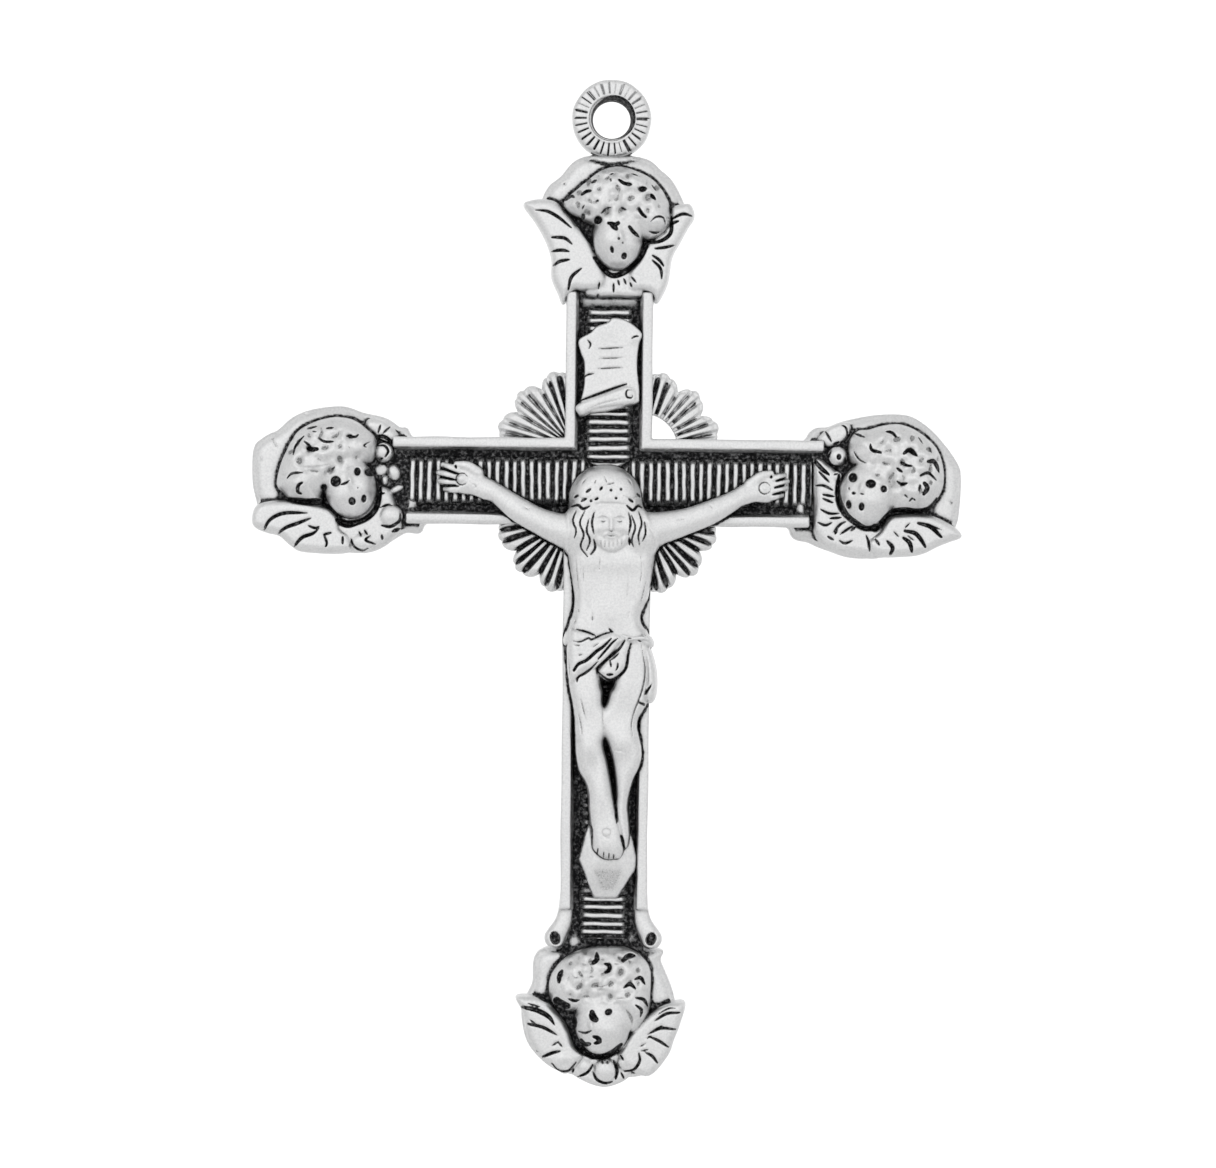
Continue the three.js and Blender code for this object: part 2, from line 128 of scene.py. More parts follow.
def curve(points, closed=False, steps=6):
    """A Catmull-Rom curve through the points."""
    p = np.array(points, float)
    if len(p) == 2 and not closed:
        return p
    if closed:
        p = np.vstack([p[-1], p, p[0], p[1]])
    else:
        p = np.vstack([2 * p[0] - p[1], p, 2 * p[-1] - p[-2]])
    t = np.linspace(0, 1, steps, endpoint=False)[:, None]
    out = []
    for a, b, c, d in zip(p[:-3], p[1:-2], p[2:-1], p[3:]):
        bend, twist = 2 * a - 5 * b + 4 * c - d, 3 * b - a - 3 * c + d
        out.append(0.5 * (2 * b + (c - a) * t + bend * t ** 2 + twist * t ** 3))
    if not closed:
        out.append(p[-2:-1])
    return np.vstack(out)


def along(x, z, path):
    """Distance of (x, z) to an open path, and the share of its length at the nearest point."""
    best = np.full(np.broadcast(x, z).shape, 1e9, np.float32)
    share = np.zeros_like(best)
    lengths = np.hypot(*np.diff(path, axis=0).T)
    walked, total = 0.0, lengths.sum()
    for (ax, az), (bx, bz), length in zip(path[:-1], path[1:], lengths):
        if length < 1e-9:
            continue
        ux, uz = (bx - ax) / length, (bz - az) / length
        t = np.clip((x - ax) * ux + (z - az) * uz, 0, length)
        d = np.hypot(x - ax - t * ux, z - az - t * uz)
        near = d < best
        best = np.where(near, d, best)
        share = np.where(near, (walked + t) / total, share)
        walked += length
    return best, share


def within(x, z, outline):
    """Signed distance to a closed outline, negative inside."""
    loop = np.vstack([outline, outline[:1]])
    distance, _ = along(x, z, loop)
    inside = np.zeros(distance.shape, bool)
    for (ax, az), (bx, bz) in zip(loop[:-1], loop[1:]):
        if az == bz:
            continue
        crosses = (az > z) != (bz > z)
        inside ^= crosses & (x < (bx - ax) * (z - az) / (bz - az) + ax)
    return np.where(inside, -distance, distance).astype(np.float32)


def ellipse_distance(x, z, cx, cz, rx, rz, tilt):
    """About how far (x, z) lies outside an ellipse, negative inside."""
    c, s = math.cos(tilt), math.sin(tilt)
    u, v = ((x - cx) * c + (z - cz) * s), ((z - cz) * c - (x - cx) * s)
    p = np.sqrt((u / rx) ** 2 + (v / rz) ** 2)
    q = np.sqrt((u / rx**2) ** 2 + (v / rz**2) ** 2)
    return p * (p - 1) / np.maximum(q, 1e-5)


# ---------------------------------------------------------------- sculpting


class Sculpt:
    """A solid as signed distances on a grid, in mm, negative inside."""

    def __init__(self, low, high, step):
        self.step = step
        self.low = np.array(low, float) - BAND * step
        count = np.ceil((np.array(high, float) + BAND * step - self.low) / step).astype(int) + 1
        self.axes = [self.low[i] + step * np.arange(count[i]) for i in range(3)]
        self.axes = [a.astype(np.float32) for a in self.axes]
        self.d = np.full(count, 9.0, np.float32)
        self.ink = np.zeros((count[0], count[2]), np.float32)
        self.shift = np.zeros(2)
        self.front_limit = SEAT - 0.15

    def span(self, low, high):
        """The part of the grid inside a box: its slices, and the places of its cells."""
        cuts = []
        for axis, a, b in zip(self.axes, low, high):
            start = max(int(np.floor((a - axis[0]) / self.step)), 0)
            stop = min(int(np.ceil((b - axis[0]) / self.step)) + 1, len(axis))
            cuts.append(slice(start, max(stop, start)))
        x, y, z = (axis[cut] for axis, cut in zip(self.axes, cuts))
        return tuple(cuts), x[:, None, None], y[None, :, None], z[None, None, :]

    def plane(self):
        """The x and z of the grid, shaped to fill a front view."""
        x, _, z = self.axes
        return x[:, None], z[None, :]

    def ball(self, centre, radii, k=0.1):
        """An ellipsoid, blended in over k."""
        centre, radii = np.array(centre, float), np.array(radii, float)
        reach = radii.max() + k + 4 * self.step
        cuts, x, y, z = self.span(centre - reach, centre + reach)
        u, v, w = (x - centre[0]) / radii[0], (y - centre[1]) / radii[1], (z - centre[2]) / radii[2]
        p = np.sqrt(u * u + v * v + w * w)
        q = np.sqrt((u / radii[0]) ** 2 + (v / radii[1]) ** 2 + (w / radii[2]) ** 2)
        d = (p * (p - 1) / np.maximum(q, 1e-5)).astype(np.float32)
        self.d[cuts] = smin(self.d[cuts], d, k)

    def limb(self, points, radii, k=0.1, flat=1.0):
        """A round limb through the points, each with its own radius; flat below 1 thins it front to back."""
        chain = curve(np.column_stack([np.array(points, float), radii]), steps=4)
        reach = max(radii) + k + 4 * self.step
        low, high = chain[:, :3].min(axis=0) - reach, chain[:, :3].max(axis=0) + reach
        cuts, x, y, z = self.span(low, high)
        best = np.full((x.size, y.size, z.size), 9.0, np.float32)
        for a, b in zip(chain[:-1], chain[1:]):
            ab = (b - a)[:3]
            dx, dy, dz = x - a[0], y - a[1], z - a[2]
            t = np.clip((dx * ab[0] + dy * ab[1] + dz * ab[2]) / (ab @ ab), 0, 1)
            off = np.sqrt((dx - t * ab[0]) ** 2 + ((dy - t * ab[1]) / flat) ** 2 + (dz - t * ab[2]) ** 2)
            np.minimum(best, (off - a[3] - t * (b[3] - a[3])) * max(flat, 0.6), out=best)
        self.d[cuts] = smin(self.d[cuts], best, k)

    def relief(self, side, top, back, edge):
        """A slab from the plane y = back up to the front surface y = top, inside the outline side."""
        slope = np.gradient(np.broadcast_to(top, side.shape), self.step)
        steep = np.sqrt(1 + slope[0] ** 2 + slope[1] ** 2)
        y = self.axes[1][None, :, None]
        front = ((top / steep)[:, None, :] - y / steep[:, None, :]).astype(np.float32)
        slab = smax(smax(front, side[:, None, :], edge), y - back, edge / 2)
        self.d = smin(self.d, slab.astype(np.float32), 0.1)

    def stroke(self, points, width, taper):
        """A drawn line on the front: where it is, its half width there and the distance to its middle."""
        path = curve(np.array(points, float) + self.shift)
        reach = width + 2 * self.step
        low = [path[:, 0].min() - reach, -FAR, path[:, 1].min() - reach]
        high = [path[:, 0].max() + reach, FAR, path[:, 1].max() + reach]
        cuts, x, y, z = self.span(low, high)
        distance, share = along(x[:, 0, :], z[:, 0, :], path)
        swell = np.sin(np.pi * np.clip(share, 0.02, 0.98)) ** 0.7
        ends = taper[0] + (taper[1] - taper[0]) * share
        return cuts, y, width * np.maximum(swell + ends * (1 - swell), 0.05), distance

    def press(self, cuts, y, depth, ink):
        """Pushes the front back by depth, and remembers where the ink stays: oxide, and in a few lines
        painted shade.
        """
        fade = ramp(self.front_limit - y, 0, 0.12)
        self.d[cuts] += (depth[:, None, :] * fade).astype(np.float32)
        spot = self.ink[cuts[0], cuts[2]]
        np.maximum(spot, ink, out=spot)

    def groove(self, points, width=0.1, depth=0.14, taper=(0.1, 0.1), dark=1.0):
        """An engraved line, or a ridge when depth is negative; width is half of the whole."""
        cuts, y, local, distance = self.stroke(points, width, taper)
        shape = ramp(1 - distance / local, 0, 0.8) * np.sqrt(local / width)
        ink = dark * ramp(0.9 * local + 0.03 - distance, 0, 0.06)
        self.press(cuts, y, depth * shape, ink if depth > 0 else 0 * ink)

    def lines(self, *strokes, width=0.08, depth=0.12, taper=(0.1, 0.1), dark=1.0):
        """Engraved lines of one kind."""
        for points in strokes:
            self.groove(points, width, depth, taper, dark)

    def dot(self, x, z, radius=0.15, depth=0.2, squash=1.0, tilt=0.0):
        """A punched pit."""
        x, z = x + self.shift[0], z + self.shift[1]
        reach = 1.5 * radius * max(squash, 1) + 0.1
        cuts, gx, y, gz = self.span([x - reach, -FAR, z - reach], [x + reach, FAR, z + reach])
        d = ellipse_distance(gx[:, 0, :], gz[:, 0, :], x, z, radius, radius * squash, math.radians(tilt))
        self.press(cuts, y, depth * ramp(-d, -0.05, 0.1), ramp(-d, -0.05, 0.03))

    def finish(self, name, nodes, back):
        """Cuts the solid flat at y = back and meshes it as the piece that replaces the CAD nodes."""
        self.d = smax(self.d, (self.axes[1] - back)[None, :, None].astype(np.float32), 0.03)
        band = BAND * self.step
        grid = openvdb.FloatGrid(band)
        grid.copyFromArray(np.ascontiguousarray(np.clip(self.d, -band, band)))
        points, triangles, quads = grid.convertToPolygons(0.0, 0.0)
        points = points * self.step + self.low
        piece = add_mesh(name, nodes, points, quads, triangles)
        ink = sample(self.ink, self.low[[0, 2]], self.step, points) * (points[:, 1] < self.front_limit)
        keep_values(piece, "ink", ink)
        return piece


class Relief(Sculpt):
    """Low relief: a height map in mm above the seat, turned into a solid at the end.

    It's drawn in (x, z) coordinates that have the middle of its CAD node at drawn_at.
    """

    def __init__(self, node, drawn_at, step=FINE):
        self.node = node
        low, high = box_mm(node)
        self.seat = high[1]
        margin = np.array([0.3, 0, 0.3])
        super().__init__(low - margin, high + margin, step)
        self.shift = (low + high)[[0, 2]] / 2 - np.array(drawn_at)
        self.x, self.z = self.plane()
        self.flat = np.zeros((len(self.axes[0]), len(self.axes[2])), np.float32)
        self.x, self.z = self.x + self.flat, self.z + self.flat
        self.height = self.flat - 1.0

    def shape(self, outline, steps=5):
        """Distance to a curved outline through the points, negative inside."""
        return within(self.x, self.z, curve(np.array(outline, float) + self.shift, closed=True, steps=steps))

    def raised(self, height, k):
        """Adds a shape that stands among the others, blended over k."""
        self.height = smax(self.height, height.astype(np.float32), k)

    def dome(self, outline, height, radius, base=0.0, k=0.05, steps=5):
        """Rises from base at the outline to height, over a quarter round of that radius."""
        d = self.shape(outline, steps)
        t = np.clip(-d / radius, 0, 1)
        crown = base + (height - base) * np.sqrt(np.clip(1 - (1 - t) ** 2, 0, 1))
        self.raised(np.where(d < 0, crown, base - 8 * d), k)

    def bump(self, x, z, rx, rz, height, base=0.0, tilt=0.0, k=0.08):
        """The cap of an ellipsoid."""
        r2 = self.oval(x, z, rx, rz, tilt)
        cap = base + (height - base) * np.sqrt(np.clip(1 - r2, 0, 1))
        self.raised(np.where(r2 < 1, cap, base - 8 * min(rx, rz) * (np.sqrt(r2) - 1)), k)

    def swell(self, x, z, rx, rz, amount, tilt=0.0):
        """Adds a soft swelling, or a hollow when amount is negative."""
        r2 = self.oval(x, z, rx, rz, tilt)
        self.height += (amount * np.exp(-r2)).astype(np.float32)

    def curls(self, x, z, rx, rz, amount=0.055, pitch=0.62):
        """Ripples an oval patch like short curly hair, with waves that cross at uneven angles."""
        r2 = self.oval(x, z, rx, rz, 0)
        ripple = 0 * self.x
        for k in range(6):
            course = self.x * math.cos(2.4 * k) + self.z * math.sin(2.4 * k)
            ripple = ripple + np.sin(2 * np.pi * course / (pitch * (0.8 + 0.08 * k)) + 2 * k)
        patch = ramp(1 - r2, 0.0, 0.3)
        self.height += (amount * patch * ripple / 2).astype(np.float32)
        np.maximum(self.ink, 0.6 * patch * ramp(-ripple / 2, 0.0, 1.3), out=self.ink)

    def oval(self, x, z, rx, rz, tilt):
        """The square of how far each place is from (x, z), where 1 is the rim of the oval."""
        c, s = math.cos(math.radians(tilt)), math.sin(math.radians(tilt))
        dx, dz = self.x - x - self.shift[0], self.z - z - self.shift[1]
        u, v = (dx * c + dz * s) / rx, (dz * c - dx * s) / rz
        return u * u + v * v

    def press(self, cuts, y, depth, ink):
        if self.height is None:
            super().press(cuts, y, depth, ink)
            return
        self.height[cuts[0], cuts[2]] -= depth.astype(np.float32)
        spot = self.ink[cuts[0], cuts[2]]
        np.maximum(spot, ink, out=spot)

    def solid(self, floor):
        """Turns the height map into a solid, wherever it is higher than floor above the seat."""
        side = floor - self.height
        slope = np.gradient(side, self.step)
        side = side / np.maximum(np.sqrt(slope[0] ** 2 + slope[1] ** 2), 0.7)
        self.relief(side.astype(np.float32), self.seat - self.height, self.seat + BOND, edge=0.03)
        self.height = None
        self.front_limit = self.seat

    def cast(self, name):
        """Makes the finished piece of the relief."""
        self.solid(0.06)
        return self.finish(name, [self.node], self.seat + BOND)


def sample(field, low, step, points):
    """Bilinear lookup of a front grid at points in mm."""
    u = np.clip((points[:, 0] - low[0]) / step, 0, field.shape[0] - 1.001)
    v = np.clip((points[:, 2] - low[1]) / step, 0, field.shape[1] - 1.001)
    i, j = u.astype(int), v.astype(int)
    u, v = u - i, v - j
    return (field[i, j] * (1 - u) * (1 - v) + field[i + 1, j] * u * (1 - v)
            + field[i, j + 1] * (1 - u) * v + field[i + 1, j + 1] * u * v)


def keep_values(piece, name, values):
    """Stores one value for each vertex."""
    layer = piece.data.attributes.get(name) or piece.data.attributes.new(name, "FLOAT", "POINT")
    layer.data.foreach_set("value", np.asarray(values, np.float32))


def add_mesh(name, nodes, points, quads, triangles=()):
    """Makes the piece that stands for the CAD nodes, from points in mm."""
    quads = np.asarray(quads, np.int64).reshape(-1, 4)
    triangles = np.asarray(triangles, np.int64).reshape(-1, 3)
    points = np.asarray(points, float)
    corners = np.concatenate([quads.ravel(), triangles.ravel()])
    sizes = np.concatenate([np.full(len(quads), 4), np.full(len(triangles), 3)])
    if signed_volume(points, quads, triangles) < 0:
        quads, triangles = quads[:, ::-1], triangles[:, ::-1]
        corners = np.concatenate([quads.ravel(), triangles.ravel()])
    mesh = bpy.data.meshes.new(name)
    mesh.vertices.add(len(points))
    mesh.vertices.foreach_set("co", (points * MM).astype(np.float32).ravel())
    mesh.loops.add(len(corners))
    mesh.loops.foreach_set("vertex_index", corners.astype(np.int32))
    mesh.polygons.add(len(sizes))
    mesh.polygons.foreach_set("loop_start", np.concatenate([[0], np.cumsum(sizes)[:-1]]).astype(np.int32))
    mesh.update(calc_edges=True)
    mesh.polygons.foreach_set("use_smooth", np.ones(len(sizes), bool))
    mesh.validate()
    piece = bpy.data.objects.new(name, mesh)
    bpy.context.scene.collection.objects.link(piece)
    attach(piece, ROOT)
    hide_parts(*nodes)
    pieces.append(piece)
    return piece


def signed_volume(points, quads, triangles):
    """Negative when the faces point inwards."""
    faces = np.concatenate([quads[:, :3], quads[:, [0, 2, 3]], triangles]) if len(quads) else triangles
    a, b, c = points[faces[:, 0]], points[faces[:, 1]], points[faces[:, 2]]
    return np.einsum("ij,ij->i", a, np.cross(b, c)).sum() / 6


def wrap_grid(rows, columns, closed_rows=False, closed_columns=False):
    """Quads of a rows x columns grid of points."""
    i = np.arange(rows if closed_rows else rows - 1)
    j = np.arange(columns if closed_columns else columns - 1)
    i, j = (a.ravel() for a in np.meshgrid(i, j, indexing="ij"))
    ni, nj = (i + 1) % rows, (j + 1) % columns
    return np.stack([i * columns + j, ni * columns + j, ni * columns + nj, i * columns + nj], axis=1)


# ---------------------------------------------------------------- the plate and what is drawn with a ruler


def cross_plate():
    """The cross with its four lobes, and the lug that the eyelet stands on."""
    work = Sculpt([plate_low[0], PLATE_FRONT - 0.5, plate_low[2]], plate_high, COARSE)
    work.front_limit = 0.2
    x, z = work.plane()
    beam = BEAM_HALF - 0.02
    upright = np.maximum(np.abs(x) - beam, np.maximum(z + 3.5, plate_low[2] + 3 - z))
    level = np.maximum(np.abs(z - CROSS_Z) - beam, np.abs(x) - 12)
    side = np.minimum(upright, level)
    lobes = [[(-1.4, -1.9), (-2.6, -2.95), (-3.15, -3.4), (-3.5, -4.1), (-3.6, -5.0), (-3.2, -6.2),
            (-2.9, -7.2), (-2.85, -8.1), (-2.5, -8.9), (-1.5, -9.6), (1.5, -9.6), (2.5, -8.9),
            (2.8, -8.1), (3.05, -7.0), (3.5, -6.1), (3.9, -5.1), (3.75, -4.3), (3.2, -3.2), (2.6, -2.6),
            (1.5, -1.9)], [(-10.0, -16.2), (-10.6, -15.7), (-11.3, -15.25), (-12.4, -15.0),
            (-13.5, -14.68), (-15.0, -14.85), (-16.0, -15.25), (-16.7, -15.85), (-17.5, -16.3),
            (-18.0, -16.9), (-18.03, -18.6), (-17.75, -19.9), (-17.85, -20.6), (-16.8, -21.2),
            (-16.0, -21.7), (-15.3, -22.0), (-12.3, -22.05), (-11.3, -21.7), (-10.3, -21.1),
            (-9.3, -20.65)], [(10.0, -16.1), (11.2, -15.45), (12.0, -15.15), (13.5, -14.85),
            (15.0, -14.82), (15.9, -15.2), (16.8, -16.0), (17.7, -17.2), (17.92, -18.0), (17.85, -19.6),
            (17.7, -20.4), (17.2, -21.2), (16.4, -21.6), (15.5, -21.9), (13.5, -22.12), (12.3, -22.1),
            (11.3, -21.8), (10.3, -21.4), (9.2, -20.6)], [(-2.9, -42.0), (-3.6, -43.9), (-4.1, -45.0),
            (-4.0, -46.2), (-3.7, -47.0), (-3.1, -47.7), (-2.4, -48.2), (-1.4, -48.5), (-0.1, -48.95),
            (0.5, -48.85), (1.2, -48.6), (2.2, -48.4), (3.2, -47.4), (3.55, -46.6), (3.8, -45.8),
            (3.6, -44.3), (2.95, -42.7), (2.6, -42.0)]]
    shapes = [within(x + 0 * z, z + 0 * x, curve(lobe, closed=True)) for lobe in lobes]
    for shape in shapes:
        side = smin(side, shape, 0.25)
    pillow = sum(0.28 * ramp(-shape, 0.0, 0.6) for shape in shapes)
    top = (PLATE_FRONT - pillow).astype(np.float32)
    work.relief(side.astype(np.float32), top, PLATE_BACK, edge=0.16)
    work.ball([0, 0.05, -2.15], [1.05, 0.55, 0.5], k=0.3)
    work.lines([(-1.5, -1.95), (-0.7, -2.2), (0, -2.35), (0.8, -2.2), (1.4, -2.0)], width=0.12,
            depth=0.14, dark=0.9)
    for x, half in ((-10.5, 0.65), (10.15, 0.4)):
        work.lines([(x, CROSS_Z + 1.3), (x, CROSS_Z), (x, CROSS_Z - 1.4)], width=half, depth=0.18,
                taper=(0.7, 0.7), dark=0.85)
    work.lines([(-2.5, -3.4), (-2.2, -3.25)], [(2.6, -4.0), (2.75, -4.15)], [(-1.2, -2.35), (-1.0, -2.5)],
            [(-15.6, -15.2), (-14.9, -14.95)], [(-16.3, -15.25), (-16.85, -15.95), (-16.95, -16.5),
            (-16.6, -17.0)], [(17.3, -19.1), (17.45, -19.4)], [(-17.55, -17.3), (-17.5, -17.6)],
            width=0.07, depth=0.08, dark=0.8)
    np.maximum(work.ink, 0.24, out=work.ink)  # flecks all over the front
    return work.finish("pendant_plate", ["cross_plate"], PLATE_BACK)


def border_moulding(sx, sz, name):
    """One of the four L-shaped mouldings; the lower two end in a scroll with a small eye."""
    low, high = box_mm(name)
    beyond = np.array([0.8, 0, 0.9 if sz > 0 else 0])
    work = Sculpt(low - beyond * [sx < 0, 0, sz < 0], high + beyond * [sx > 0, 0, sz > 0], PLAIN)
    work.front_limit = SEAT - 0.2
    x, z = work.plane()
    u, v = sx * x - RIM_MIDDLE, sz * (z - CROSS_Z) - RIM_MIDDLE
    offset = np.minimum(u, v)
    half = RIM_WIDTH / 2
    wander = 0.012 * np.sin(2.1 * x + 1.3 * z) + 0.01 * np.sin(0.7 * z - 1.9 * x)
    far_u = (high[0] if sx > 0 else -low[0]) - RIM_MIDDLE + beyond[0]
    far_v = (high[2] - CROSS_Z if sz > 0 else 21.6) - RIM_MIDDLE + beyond[2]
    side = np.maximum(np.abs(offset + wander) - half, np.maximum(u - far_u, v - far_v))
    inner = ramp(offset, -half - 0.04, -half + 0.2)
    outer = np.sqrt(np.clip(1 - (np.clip(offset, 0.06, half) - 0.06) ** 2 / 0.3**2, 0, 1))
    top = RIM_CREST + 0.36 * (1 - inner) + 0.2 * (1 - outer) + 0.5 * wander
    work.relief(side.astype(np.float32), top.astype(np.float32), SEAT + BOND, edge=0.05)
    if sz < 0:
        eye_x, eye_z = sx * 2.42, low[2] + 0.62
        deep = SEAT - 0.28
        work.limb([[sx * RIM_MIDDLE, deep, eye_z + 2.1], [sx * (RIM_MIDDLE + 0.12), deep, eye_z + 0.9],
                   [eye_x, deep, eye_z]], [0.3, 0.42, 0.56], k=0.12, flat=0.85)
        work.dot(eye_x, eye_z, 0.24, 0.6, squash=1.35, tilt=-15 * sx)
    return work.finish(name + "_silver", [name], SEAT + BOND)


def ribbed_panel(name, direction):
    """A strip of cut ribs from the crossing's middle out to the end of its CAD node."""
    low, high = box_mm(name)
    dx, dz = direction
    length = max(abs(low[0]), abs(high[0])) if dx else max(abs(low[2] - CROSS_Z), abs(high[2] - CROSS_Z))
    pitch, valley, rise = 0.43, 0.13, 0.29
    rows = int(length / pitch * 16)
    s = np.linspace(0.03, length, rows)[:, None]
    t = np.linspace(-1, 1, 31)[None, :]
    half = np.minimum(s, PANEL_HALF + 0.14)
    rib = np.floor(s / pitch + 0.5).astype(int)
    level = 1 - 0.14 * rng.random(rib.max() + 2)[rib]
    ragged = 0.07 * rng.random((rib.max() + 2, 2))
    short = np.where(t < 0, ragged[rib[:, 0], 0][:, None], ragged[rib[:, 0], 1][:, None])
    drift = 0.05 * np.sin(1.7 * s + 1.1 * t) + 0.04 * np.sin(5.3 * s) + 0.02 * np.sin(7 * t + 3 * rib)
    wave = 0.5 + 0.5 * np.cos(2 * np.pi * (s / pitch + drift))
    wear = 1 - 0.1 * (0.5 + 0.5 * np.sin(4.1 * rib + 5.3 * t))
    ends = 1 - ramp(np.abs(t) * half, half - 0.32 - short, half - short)
    height = valley + rise * ramp(wave, 0.0, 0.85) * level * wear * ends
    ink = np.maximum(1.2 - 2.1 * wave + 0.3 * np.sin(6 * t + 2 * rib) ** 2, 0.95 * (1 - ends))
    if dz < 0:
        # oxide and painted shade on the ribs beside the shins, feet and footrest
        oxide_and_shade_by_feet = ramp(s, 14.0, 15.0) * (1 - ramp(s, 20.6, 21.2))
        ink = np.maximum(ink, 0.6 * oxide_and_shade_by_feet)
    across = t * half
    top = [dx * s + dz * across, SEAT - height, CROSS_Z + dz * s + dx * across]
    return strip(name, top, ink, SEAT + BOND)


def strip(name, top, ink, back):
    """Closes a sheet of rows and columns with a flat back, and keeps its ink: oxide, with painted shade in a
    few places.
    """
    top = np.stack([np.broadcast_to(c, ink.shape) for c in top], axis=-1)
    under = top[:, [-1, 0]].copy()
    under[:, :, 1] = back
    loops = np.concatenate([top, under], axis=1)
    rows, count = loops.shape[:2]
    caps = [[r * count + c for c in (0, i, i + 1)] for r in (0, rows - 1) for i in range(1, count - 1)]
    caps = [c if k >= count - 2 else c[::-1] for k, c in enumerate(caps)]
    quads = wrap_grid(rows, count, closed_columns=True)
    piece = add_mesh(name + "_silver", [name], loops.reshape(-1, 3), quads, caps)
    keep_values(piece, "ink", np.concatenate([ink, ink[:, [-1, 0]]], axis=1).ravel())
    return piece


def ray_fan(sx, sz, name):
    """Rays spreading from the corner of the crossing, three scalloped lobes of three."""
    low, high = box_mm(name)
    lobes, rays = 3, 3
    centre = 1.75
    radius = max(abs(low[0]), abs(high[0])) - centre
    first, last = math.radians(2), math.radians(88)
    angles = np.linspace(first, last, lobes * rays * 20 + 1)[:, None]
    share = (angles - first) / (last - first)
    sway = 0.012 * np.sin(2 * np.pi * (3 * share + 0.3 * sx)) * np.sin(np.pi * share)
    phase = lobes * rays * (share + sway)
    ray = np.clip(np.floor(phase), 0, lobes * rays - 1).astype(int)
    lobe = (phase / rays) % 1.0 * 2 - 1
    uneven = rng.uniform(-0.1, 0.04, lobes * rays)[ray]
    wave = 0.5 - 0.5 * np.cos(2 * np.pi * phase)
    reach = radius - 0.02 - 0.5 * np.abs(lobe) ** 2.2 + 0.5 * uneven - 0.07 * (1 - wave) ** 2
    start = (BEAM_HALF - centre - 0.2) / np.maximum(np.cos(angles), np.sin(angles))
    if (sx, sz) == (1, 1):
        start = np.maximum(start, centre * ramp(np.sin(2 * angles), 0.05, 0.35))
    r = np.linspace(0, 1, 30)[None, :]
    dist = start + (reach - start) * r
    gap = rng.uniform(*((0.3, 0.5) if sz < 0 else (0.05, 0.14)), lobes * rays)[ray]
    if sz > 0:
        gap = gap + 0.26 * ramp(share, 0.72, 0.85)
    base = 0.85 if sz < 0 else 0.5
    bent = ramp(wave + 0.1 * np.sin(3 * dist + 2 * ray), 0.0, 0.8)
    tip = 1 - ramp(dist, reach - 0.4, reach - 0.15)
    height = 0.32 * bent * (0.35 + 0.65 * tip) + 0.06 * ramp(dist, reach - 0.4, reach - 0.1)
    crest = np.maximum(low[1] + 0.32 - height, low[1] + 0.005)
    edge = 0.16 * ramp(r, 0.965, 1.0)
    # Dark near the crossing, and on the lower fans a wider band beside the crossbar under the figure's arms:
    # oxide, with painted shadow of the arms in that band.
    near = 1 - ramp(dist - start, 0.1, base + 0.7 * (sz < 0) * (1 - ramp(share, 0.1, 0.4)))
    ink = (gap + 0.04 * np.sin(9 * dist + 5 * ray) - wave) * 4 + 0.5 - 0.8 * (1 - tip) + 0.9 * near
    x = sx * (centre + dist * np.cos(angles))
    z = CROSS_Z + sz * (centre + dist * np.sin(angles))
    return strip(name, [x, crest + edge, z], ink, high[1])


def eyelet():
    """A thick ring, with worn radial notches cut into its face."""
    _, high = box_mm("eyelet")
    outer, half = high[0], high[1]
    section = curve([(1.1, -half + 0.12), (1.2, -half + 0.01), (1.32, -half + 0.04), (1.5, -half + 0.03),
            (1.76, -half + 0.06), (outer - 0.1, -half + 0.16), (outer, -half + 0.4), (outer, half - 0.35),
            (outer - 0.12, half - 0.06), (outer - 0.4, half), (1.25, half), (1.02, half - 0.05),
            (0.955, half - 0.25), (0.97, 0.0), (1.04, -half + 0.4)], closed=True, steps=5)
    ticks, per_tick = 30, 20
    turn = np.linspace(0, 2 * np.pi, ticks * per_tick, endpoint=False)[:, None]
    radius, y = section[:, 0][None, :], section[:, 1][None, :]
    jitter = rng.uniform(-0.16, 0.16, ticks).repeat(per_tick)[:, None]
    length = rng.uniform(-0.07, 0.07, ticks).repeat(per_tick)[:, None]
    phase = (np.arange(ticks * per_tick)[:, None] / per_tick + 0.5 + jitter) % 1 - 0.5
    notch = np.exp(-(phase / 0.13) ** 2) * ramp(radius, 1.22,
            1.3) * (1 - ramp(radius, 1.8 + length, 1.93 + length))
    notch = notch * (y < -half + 0.5)
    hammered = 1 + 0.004 * np.sin(7 * turn) + 0.003 * np.sin(11 * turn + 1)
    ring = radius * np.where(radius > 1.5, hammered, 1.0)
    points = np.stack([ring * np.cos(turn), y + 0.1 * notch + 0 * turn, ring * np.sin(turn)], axis=-1)
    rows, count = points.shape[:2]
    quads = wrap_grid(rows, count, closed_rows=True, closed_columns=True)
    piece = add_mesh("eyelet_ring", ["eyelet"], points.reshape(-1, 3), quads)
    worn = 0.75 - 0.35 * np.sin(turn + 0.3)
    shade = ramp(np.cos(turn - 0.4), -0.5, 0.9)  # painted shade: the bore is darkest on its right, where its inner wall shows in shadow
    # oxide all round the front of the bore, with the painted shade added on its right
    bore = (0.7 + 0.6 * shade) * (1 - ramp(radius, 1.02 + 0.12 * shade, 1.12 + 0.15 * shade))
    bore = bore * (1 - ramp(y, 0.1, 0.5))
    keep_values(piece, "ink", np.maximum(1.4 * notch * worn, bore).ravel())
    return piece


